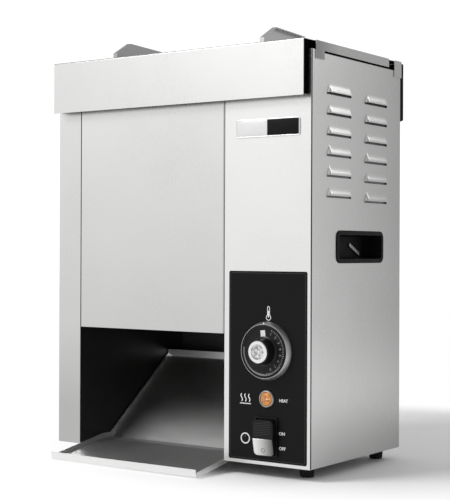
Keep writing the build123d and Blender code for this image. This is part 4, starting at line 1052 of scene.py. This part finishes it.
def lathe_rings(work, points, sides):
    """Rings of points for a turned body, with a single point where the radius is zero."""
    turns = [2 * math.pi * step / sides for step in range(sides)]
    rings = []
    for radius, out in points:
        if radius > 0:
            places = [(radius * math.cos(a), -out, radius * math.sin(a)) for a in turns]
        else:
            places = [(0, -out, 0)]
        rings.append([work.verts.new(place) for place in places])
    return rings


def lathe(name, points, at, body, material=None, sides=LATHE_SIDES):
    """Bright trim turned about a front-to-rear axis from (radius, out) points, out towards -Y."""
    work = bmesh.new()
    rings = lathe_rings(work, points, sides)
    for low, high in zip(rings, rings[1:]):
        for step in range(sides):
            after = (step + 1) % sides
            if len(low) == 1:
                corners = (low[0], high[after], high[step])
            elif len(high) == 1:
                corners = (low[step], low[after], high[0])
            else:
                corners = (low[step], low[after], high[after], high[step])
            work.faces.new(corners)
    bmesh.ops.recalc_face_normals(work, faces=work.faces)
    bmesh.ops.translate(work, verts=work.verts, vec=at)
    return piece_from(work, name, body, "bright_trim", material)


# Dial ring: its lip is a list of places outwards from the bore and back from the front

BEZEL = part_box("dial_bezel")
BEZEL_SIDES = 128
BEZEL_WIDTH = 0.0042
BEZEL_FOOT = 0.0016
BEZEL_STEP = 0.0003
BEZEL_STEP_RISE = 0.0008
BEZEL_LIP = ((0.0014, 0.0006), (0.0009, 0), (0.0004, 0), (0, 0.0005))
BORE_REACH = 0.0002


def dial_ring():
    """The dial's ring with a satin flank and a dark bore."""
    outer = (BEZEL[1].x - BEZEL[0].x) / 2
    reach = BEZEL[1].y - BEZEL[0].y
    bore = outer - BEZEL_WIDTH
    flank = [(outer, 0), (outer, BEZEL_FOOT), (outer - BEZEL_STEP, BEZEL_FOOT + BEZEL_STEP_RISE)]
    lip = [(bore + away, reach - back) for away, back in BEZEL_LIP]
    at = Vector((DIAL.x, BEZEL[1].y, DIAL.z))
    ring = lathe("dial_bezel_ring", [(bore, 0), *flank, *lip, (bore, 0)], at, ROOM, SATIN, BEZEL_SIDES)
    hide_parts("dial_bezel")
    dark = bore + BORE_REACH
    paint(ring, MATERIALS["dial_plastic"], lambda point, normal: distance_from(DIAL, point) < dark)


# Dial cap: its relief has shares of the radius, and a depth for each

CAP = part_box("knob_cap")
CAP_RIM = 0.0046
CAP_ROUND = 0.0008
CAP_STEP = 0.0006
CAP_STEP_DEPTH = 0.001
CAP_RELIEF_SHARES = (0.5, 0.42, 0)
CAP_RELIEF_DEPTHS = (0.0007, 0.0012, 0.0009)


def dial_cap():
    """The dial's bright cap with a cast relief inside its rim."""
    radius = (CAP[1].x - CAP[0].x) / 2
    depth = CAP[1].y - CAP[0].y
    inside = radius - CAP_RIM
    flank = [(0, 0), (radius, 0), (radius, depth - CAP_ROUND), (radius - CAP_ROUND, depth)]
    step = [(inside, depth), (inside - CAP_STEP, depth - CAP_STEP_DEPTH)]
    relief = [(radius * share, depth - below) for share, below in zip(CAP_RELIEF_SHARES, CAP_RELIEF_DEPTHS)]
    at = Vector((DIAL.x, CAP[1].y, DIAL.z))
    cap = lathe("knob_cap_face", [*flank, *step, *relief], at, "dial")
    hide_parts("knob_cap")
    paint(cap, RELIEF, lambda point, normal: distance_from(DIAL, point) < inside)


# Dial marks: angles are degrees clockwise from the top

KNOB_EDGE = 0.0006
DIAL_NUMBERS = 8
DIAL_FIRST = 24.0
DIAL_STEP = 19.0
DIAL_TICKS = 4
NUMBER_RADIUS = 0.0258
NUMBER_HEIGHT = 0.0052
TICK_INNER = 0.0297
TICK_OUTER = 0.0318
TICK_LONG = 0.0326
TICK_WIDTH = 0.0006
FACE_DISH = 0.0016
INDEX_TURN = -5.0
INDEX_SPAN = (0.0184, 0.0285)
INDEX_WIDTH = 0.0074
ARC_RADIUS = 0.0322
ARC_START = 126
ARC_STEP = 9
ARC_POINTS = 18
ARC_WIDTH = 0.0016
RING_MARK_SPAN = (0.0368, 0.0392)
RING_MARK_WIDTH = 0.0016
DIAL_FRONT = Vector((DIAL.x, BEZEL[0].y, DIAL.z))
DIAL_FACE = DIAL_FRONT + Vector((0, FACE_DISH, 0))


def on_dial(radius, angle):
    """A place across and up on the dial, by its clock angle in degrees."""
    turn = math.radians(angle)
    return (radius * math.sin(turn), radius * math.cos(turn))


def dial_number(index, angle):
    """A number, turned to read from the dial's edge."""
    x, z = on_dial(NUMBER_RADIUS, angle)
    at = DIAL_FACE + Vector((x, 0, z))
    lettering(str(index), f"dial_number_{index}", at, NUMBER_HEIGHT, "dial", ARC_INK, turn=angle)


def dial_ticks(index, angle, knob):
    """A number's tick and the shorter ones up to the next number."""
    for tick in range(DIAL_TICKS):
        turn = angle + tick * DIAL_STEP / DIAL_TICKS
        outer = TICK_OUTER if tick else TICK_LONG
        work = ribbon([on_dial(TICK_INNER, turn), on_dial(outer, turn)], TICK_WIDTH)
        name = f"dial_tick_{index}_{tick}"
        finish_mark(work, name, DIAL_FACE, "dial", TICK_INK, piece=knob)


def dial_marks(knob):
    """Numbers, ticks, index bar and arc on the dial, and the fixed mark above it."""
    for index in range(DIAL_NUMBERS):
        angle = DIAL_FIRST + index * DIAL_STEP
        dial_number(index + 1, angle)
        dial_ticks(index + 1, angle, knob)
    index_bar = ribbon([on_dial(radius, INDEX_TURN) for radius in INDEX_SPAN], INDEX_WIDTH)
    finish_mark(index_bar, "dial_index_bar", DIAL_FACE, "dial", INK)
    arc = ribbon([on_dial(ARC_RADIUS, ARC_START + ARC_STEP * step) for step in range(ARC_POINTS)], ARC_WIDTH)
    finish_mark(arc, "dial_arc", DIAL_FACE, "dial", ARC_INK, piece=knob)
    mark = ribbon([(0, height) for height in RING_MARK_SPAN], RING_MARK_WIDTH)
    finish_mark(mark, "bezel_mark", DIAL_FRONT, ROOM, INK)


# Border of the control film

BORDER_INSET = 0.0025
BORDER_CORNER = 0.0025
BORDER_WIDTH = 0.0008
BORDER_STEPS = 6
CORNERS = ((1, 1), (-1, 1), (-1, -1), (1, -1))


def film_border():
    """A thin paler line inside the film's edge."""
    across = (FILM[1].x - FILM[0].x) / 2 - BORDER_INSET - BORDER_CORNER
    up = (FILM[1].z - FILM[0].z) / 2 - BORDER_INSET - BORDER_CORNER
    points = []
    for quarter, (side, rise) in enumerate(CORNERS):
        start = quarter * QUARTER_TURN
        centre = (side * across, rise * up)
        points += arc_points(BORDER_CORNER, start, start + QUARTER_TURN, BORDER_STEPS, centre)
    centre = middle("control_overlay")
    border = ribbon(points, BORDER_WIDTH, True)
    finish_mark(border, "film_border", on_film(centre.x, centre.z), ROOM, FAINT_INK)


# Thermometer above the dial

THERMOMETER_RIGHT = 0.002
THERMOMETER_RISE = 0.0455
BULB_RADIUS = 0.0036
BULB_ARC = (-245, 65)
BULB_STEPS = 24
TUBE_RADIUS = 0.0016
TUBE_HEIGHT = 0.0135
TUBE_STEPS = 8
OUTLINE_WIDTH = 0.001
COLUMN_HEIGHT = 0.009
COLUMN_WIDTH = 0.0018


def thermometer():
    """A small thermometer above the dial."""
    at = on_film(DIAL.x + THERMOMETER_RIGHT, DIAL.z + THERMOMETER_RISE)
    bulb = arc_points(BULB_RADIUS, *BULB_ARC, BULB_STEPS)
    tip = arc_points(TUBE_RADIUS, 0, HALF_TURN, TUBE_STEPS, (0, TUBE_HEIGHT))
    outline = ribbon([*bulb, (TUBE_RADIUS, TUBE_HEIGHT), *tip], OUTLINE_WIDTH, True)
    finish_mark(outline, "thermometer_outline", at, ROOM, INK)
    column = ribbon([(0, 0), (0, COLUMN_HEIGHT)], COLUMN_WIDTH)
    finish_mark(column, "thermometer_column", at, ROOM, INK)


# Signs left of the lamp and the switch

SIGN_LEFT = 0.0352
WAVE_COUNT = 3
WAVE_STEPS = 12
WAVE_HEIGHT = 0.0105
WAVE_SWING = 0.0012
WAVE_PITCH = 0.0062
WAVE_WIDTH = 0.0014
WAVE_DROP = 0.0055
WAVE_BASE_DROP = 0.0082
WAVE_BASE_HALF = 0.009
WAVE_BASE_WIDTH = 0.0012
POWER_DROP = 0.0048
POWER_RADIUS = 0.0068
POWER_SIDES = 40
POWER_WIDTH = 0.0017
POWER_TICK_SPAN = (0.0015, 0.0052)
POWER_TICK_WIDTH = 0.0009


def wave_point(step):
    """A point of a rising wave."""
    share = step / WAVE_STEPS
    return (WAVE_SWING * math.sin(2 * math.pi * share), WAVE_HEIGHT * share)


def heat_sign():
    """Three rising waves over a line, left of the lamp."""
    centre = LAMP.x - SIGN_LEFT
    for index in range(WAVE_COUNT):
        wave = ribbon([wave_point(step) for step in range(WAVE_STEPS + 1)], WAVE_WIDTH)
        x = centre + (index - (WAVE_COUNT - 1) / 2) * WAVE_PITCH
        finish_mark(wave, f"heat_wave_{index}", on_film(x, LAMP.z - WAVE_DROP), ROOM, INK)
    base = ribbon([(-WAVE_BASE_HALF, 0), (WAVE_BASE_HALF, 0)], WAVE_BASE_WIDTH)
    finish_mark(base, "heat_wave_base", on_film(centre, LAMP.z - WAVE_BASE_DROP), ROOM, INK)


def power_sign():
    """A ring with a short tick, left of the switch."""
    at = on_film(SWITCH.x - SIGN_LEFT, SWITCH.z - POWER_DROP)
    ring = ribbon(ring_points(POWER_RADIUS, POWER_SIDES), POWER_WIDTH, True)
    finish_mark(ring, "power_ring", at, ROOM, INK)
    tick = ribbon([(0, height) for height in POWER_TICK_SPAN], POWER_TICK_WIDTH)
    finish_mark(tick, "power_tick", at, ROOM, DIM_INK)


# Words: the centre of the piece that each is beside, its rise over that, and its size

WORDS_LEFT = 0.0195
WORDS = {
    "HEAT": (LAMP, -0.001, 0.0056),
    "ON": (SWITCH, 0.0055, 0.006),
    "OFF": (SWITCH, -0.0145, 0.006),
}


def words():
    """HEAT beside the lamp, ON and OFF beside the switch."""
    for text, (centre, rise, size) in WORDS.items():
        at = on_film(SWITCH.x + WORDS_LEFT, centre.z + rise)
        lettering(text, text.lower() + "_words", at, size, ROOM, INK, align="LEFT")


# Pilot lamp: each lens ring has shares of the radius at even and odd points, and one of the depth

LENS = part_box("lamp_lens")
LENS_SIDES = 16
LENS_RING_SHARES = ((1.0, 1.0, 0.0), (1.0, 1.0, 0.35), (0.86, 0.86, 0.7), (0.72, 0.3, 0.8))
LAMP_EDGE = 0.0005
CREAM_WIDTH = 0.0007


def lens_rings(work, radius, depth):
    """The lens's rings of points."""
    rings = []
    for even_share, odd_share, out_share in LENS_RING_SHARES:
        ring = []
        for step in range(LENS_SIDES):
            angle = 2 * math.pi * step / LENS_SIDES
            reach = radius * (odd_share if step % 2 else even_share)
            place = (reach * math.cos(angle), -out_share * depth, reach * math.sin(angle))
            ring.append(work.verts.new(place))
        rings.append(ring)
    return rings


def lens_form(radius, depth):
    """Faceted lens with a raised star."""
    work = bmesh.new()
    rings = lens_rings(work, radius, depth)
    tip = work.verts.new((0, -depth, 0))
    back = work.verts.new((0, 0, 0))
    sides = [(step, (step + 1) % LENS_SIDES) for step in range(LENS_SIDES)]
    for low, high in zip(rings, rings[1:]):
        for step, after in sides:
            work.faces.new((low[step], low[after], high[after], high[step]))
    for step, after in sides:
        work.faces.new((rings[-1][step], rings[-1][after], tip))
        work.faces.new((rings[0][after], rings[0][step], back))
    bmesh.ops.triangulate(work, faces=work.faces)
    bmesh.ops.recalc_face_normals(work, faces=work.faces)
    return work


def pilot_lamp():
    """The amber lens, and the lamp's ring with a thin cream edge round the lens."""
    centre = middle("lamp_lens")
    radius = (LENS[1].x - LENS[0].x) / 2
    work = lens_form(radius, LENS[1].y - LENS[0].y)
    bmesh.ops.translate(work, verts=work.verts, vec=(centre.x, LENS[1].y, centre.z))
    lens = piece_from(work, "lamp_star_lens", ROOM, "amber_lens")
    lens.data.polygons.foreach_set("use_smooth", [False] * len(lens.data.polygons))
    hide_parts("lamp_lens")
    ring = refined("lamp_bezel", LAMP_EDGE, SOFT_SEGMENTS)
    edge = radius + CREAM_WIDTH
    paint(ring, CREAM, lambda point, normal: distance_from(centre, point) < edge)


# Switch

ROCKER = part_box("switch_rocker")
FRAME_EDGE = 0.0006
ROCKER_EDGE = 0.0008
PADDLE_EDGE = 0.0004
CROWN = 0.0022
CROWN_CUTS = 14
CROWN_START_SHARE = 0.5
CROWN_CLEAR = 0.001
RIB_COUNT = 6
RIB_RISE = 0.002
RIB_PITCH = 0.0031
RIB_LEFT = 0.0125
RIB_POINTS = 11
RIB_STEP = 0.0025
RIB_SLOPE = 0.0004
RIB_WIDTH = 0.001
RIB_DEPTH = 0.0003
OFF_DROP = 0.0175
OFF_RADIUS = 0.0027
OFF_SIDES = 28
OFF_WIDTH = 0.0007


def crowned(node, edge):
    """A switch piece whose face curves back towards its right side."""
    width = ROCKER[1].x - ROCKER[0].x
    half = width / 2
    work = shell_of(node)
    round_edges(work, edge, SOFT_SEGMENTS)
    for cut in range(1, CROWN_CUTS):
        cut_across(work, (ROCKER[0].x + width * cut / CROWN_CUTS, 0, 0), (1, 0, 0))
    start = SWITCH.x - half * CROWN_START_SHARE
    length = half * (1 + CROWN_START_SHARE)
    for vert in work.verts:
        if vert.co.y < FILM[0].y - CROWN_CLEAR:
            vert.co.y += CROWN * max(0.0, (vert.co.x - start) / length) ** 2
    return stand_for(work, node)


def rocker_ribs(rocker):
    """Faint slanted ribs on the rocker's upper half."""
    for rib in range(RIB_COUNT):
        left = SWITCH.x - RIB_LEFT
        z = SWITCH.z + RIB_RISE + rib * RIB_PITCH
        points = [(left + RIB_STEP * step, z + RIB_SLOPE * step) for step in range(RIB_POINTS)]
        work = ribbon(points, RIB_WIDTH)
        finish_mark(work, f"rocker_rib_{rib}", Vector((0, 0, 0)), "rocker", FAINT_INK, RIB_DEPTH, rocker)


def switch_parts():
    """The switch frame, the ribbed rocker and its bright lower half with a ring mark."""
    refined("switch_bezel", FRAME_EDGE, SOFT_SEGMENTS)
    rocker = crowned("switch_rocker", ROCKER_EDGE)
    paddle = crowned("rocker_paddle", PADDLE_EDGE)
    rocker_ribs(rocker)
    ring = ribbon(ring_points(OFF_RADIUS, OFF_SIDES), OFF_WIDTH, True)
    at = Vector((SWITCH.x, 0, SWITCH.z - OFF_DROP))
    finish_mark(ring, "rocker_off_mark", at, "rocker", DIM_INK, piece=paddle)


# Badge

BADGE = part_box("badge_plate")
BADGE_EDGE = 0.0003
BADGE_RIM = 0.0016
BADGE_SPLIT_SHARE = 0.5
INLAY_PROUD = 0.0001
INLAY_DEPTH = 0.0007
INLAY_GAP = 0.0002
INLAY_EDGE = 0.0002


def badge_inlays():
    """The badge with its two bare inlays: bright at the left, dark at the right."""
    refined("badge_plate", BADGE_EDGE)
    low, high = BADGE
    split = low.x + (high.x - low.x) * BADGE_SPLIT_SHARE
    for name, start, end, slot in (
        ("badge_bright_inlay", low.x + BADGE_RIM, split - INLAY_GAP, "badge_metal"),
        ("badge_dark_inlay", split, high.x - BADGE_RIM, "overlay_film"),
    ):
        near_corner = (start, low.y - INLAY_PROUD, low.z + BADGE_RIM)
        far_corner = (end, low.y + INLAY_DEPTH, high.z - BADGE_RIM)
        bar(name, near_corner, far_corner, ROOM, slot, INLAY_EDGE)


# Other nodes that only get rounded edges, by the width of their rounding

ROUNDED = {
    "bun_chute": 0.0004,
    "feeder_ends": 0.0003,
    "handle_pockets": 0.0006,
    "rubber_feet": 0.0008,
    "pocket_clips": 0.0004,
    "cable_gland": 0.0004,
    "reset_button": 0.0004,
    "rear_screws": 0.0003,
}


add_camera()
add_floor()
add_world()
add_light()
set_view()
dress_nodes()
folded_panels()
right_panel()
corner_seal()
louvre_screen()
lid_sheet()
lid_seal()
skirt_ends()
rear_sheet()
dial_ring()
knob = refined("thermostat_knob", KNOB_EDGE, SOFT_SEGMENTS)
dial_cap()
dial_marks(knob)
film_border()
thermometer()
heat_sign()
power_sign()
words()
pilot_lamp()
switch_parts()
badge_inlays()
for node, width in ROUNDED.items():
    refined(node, width)
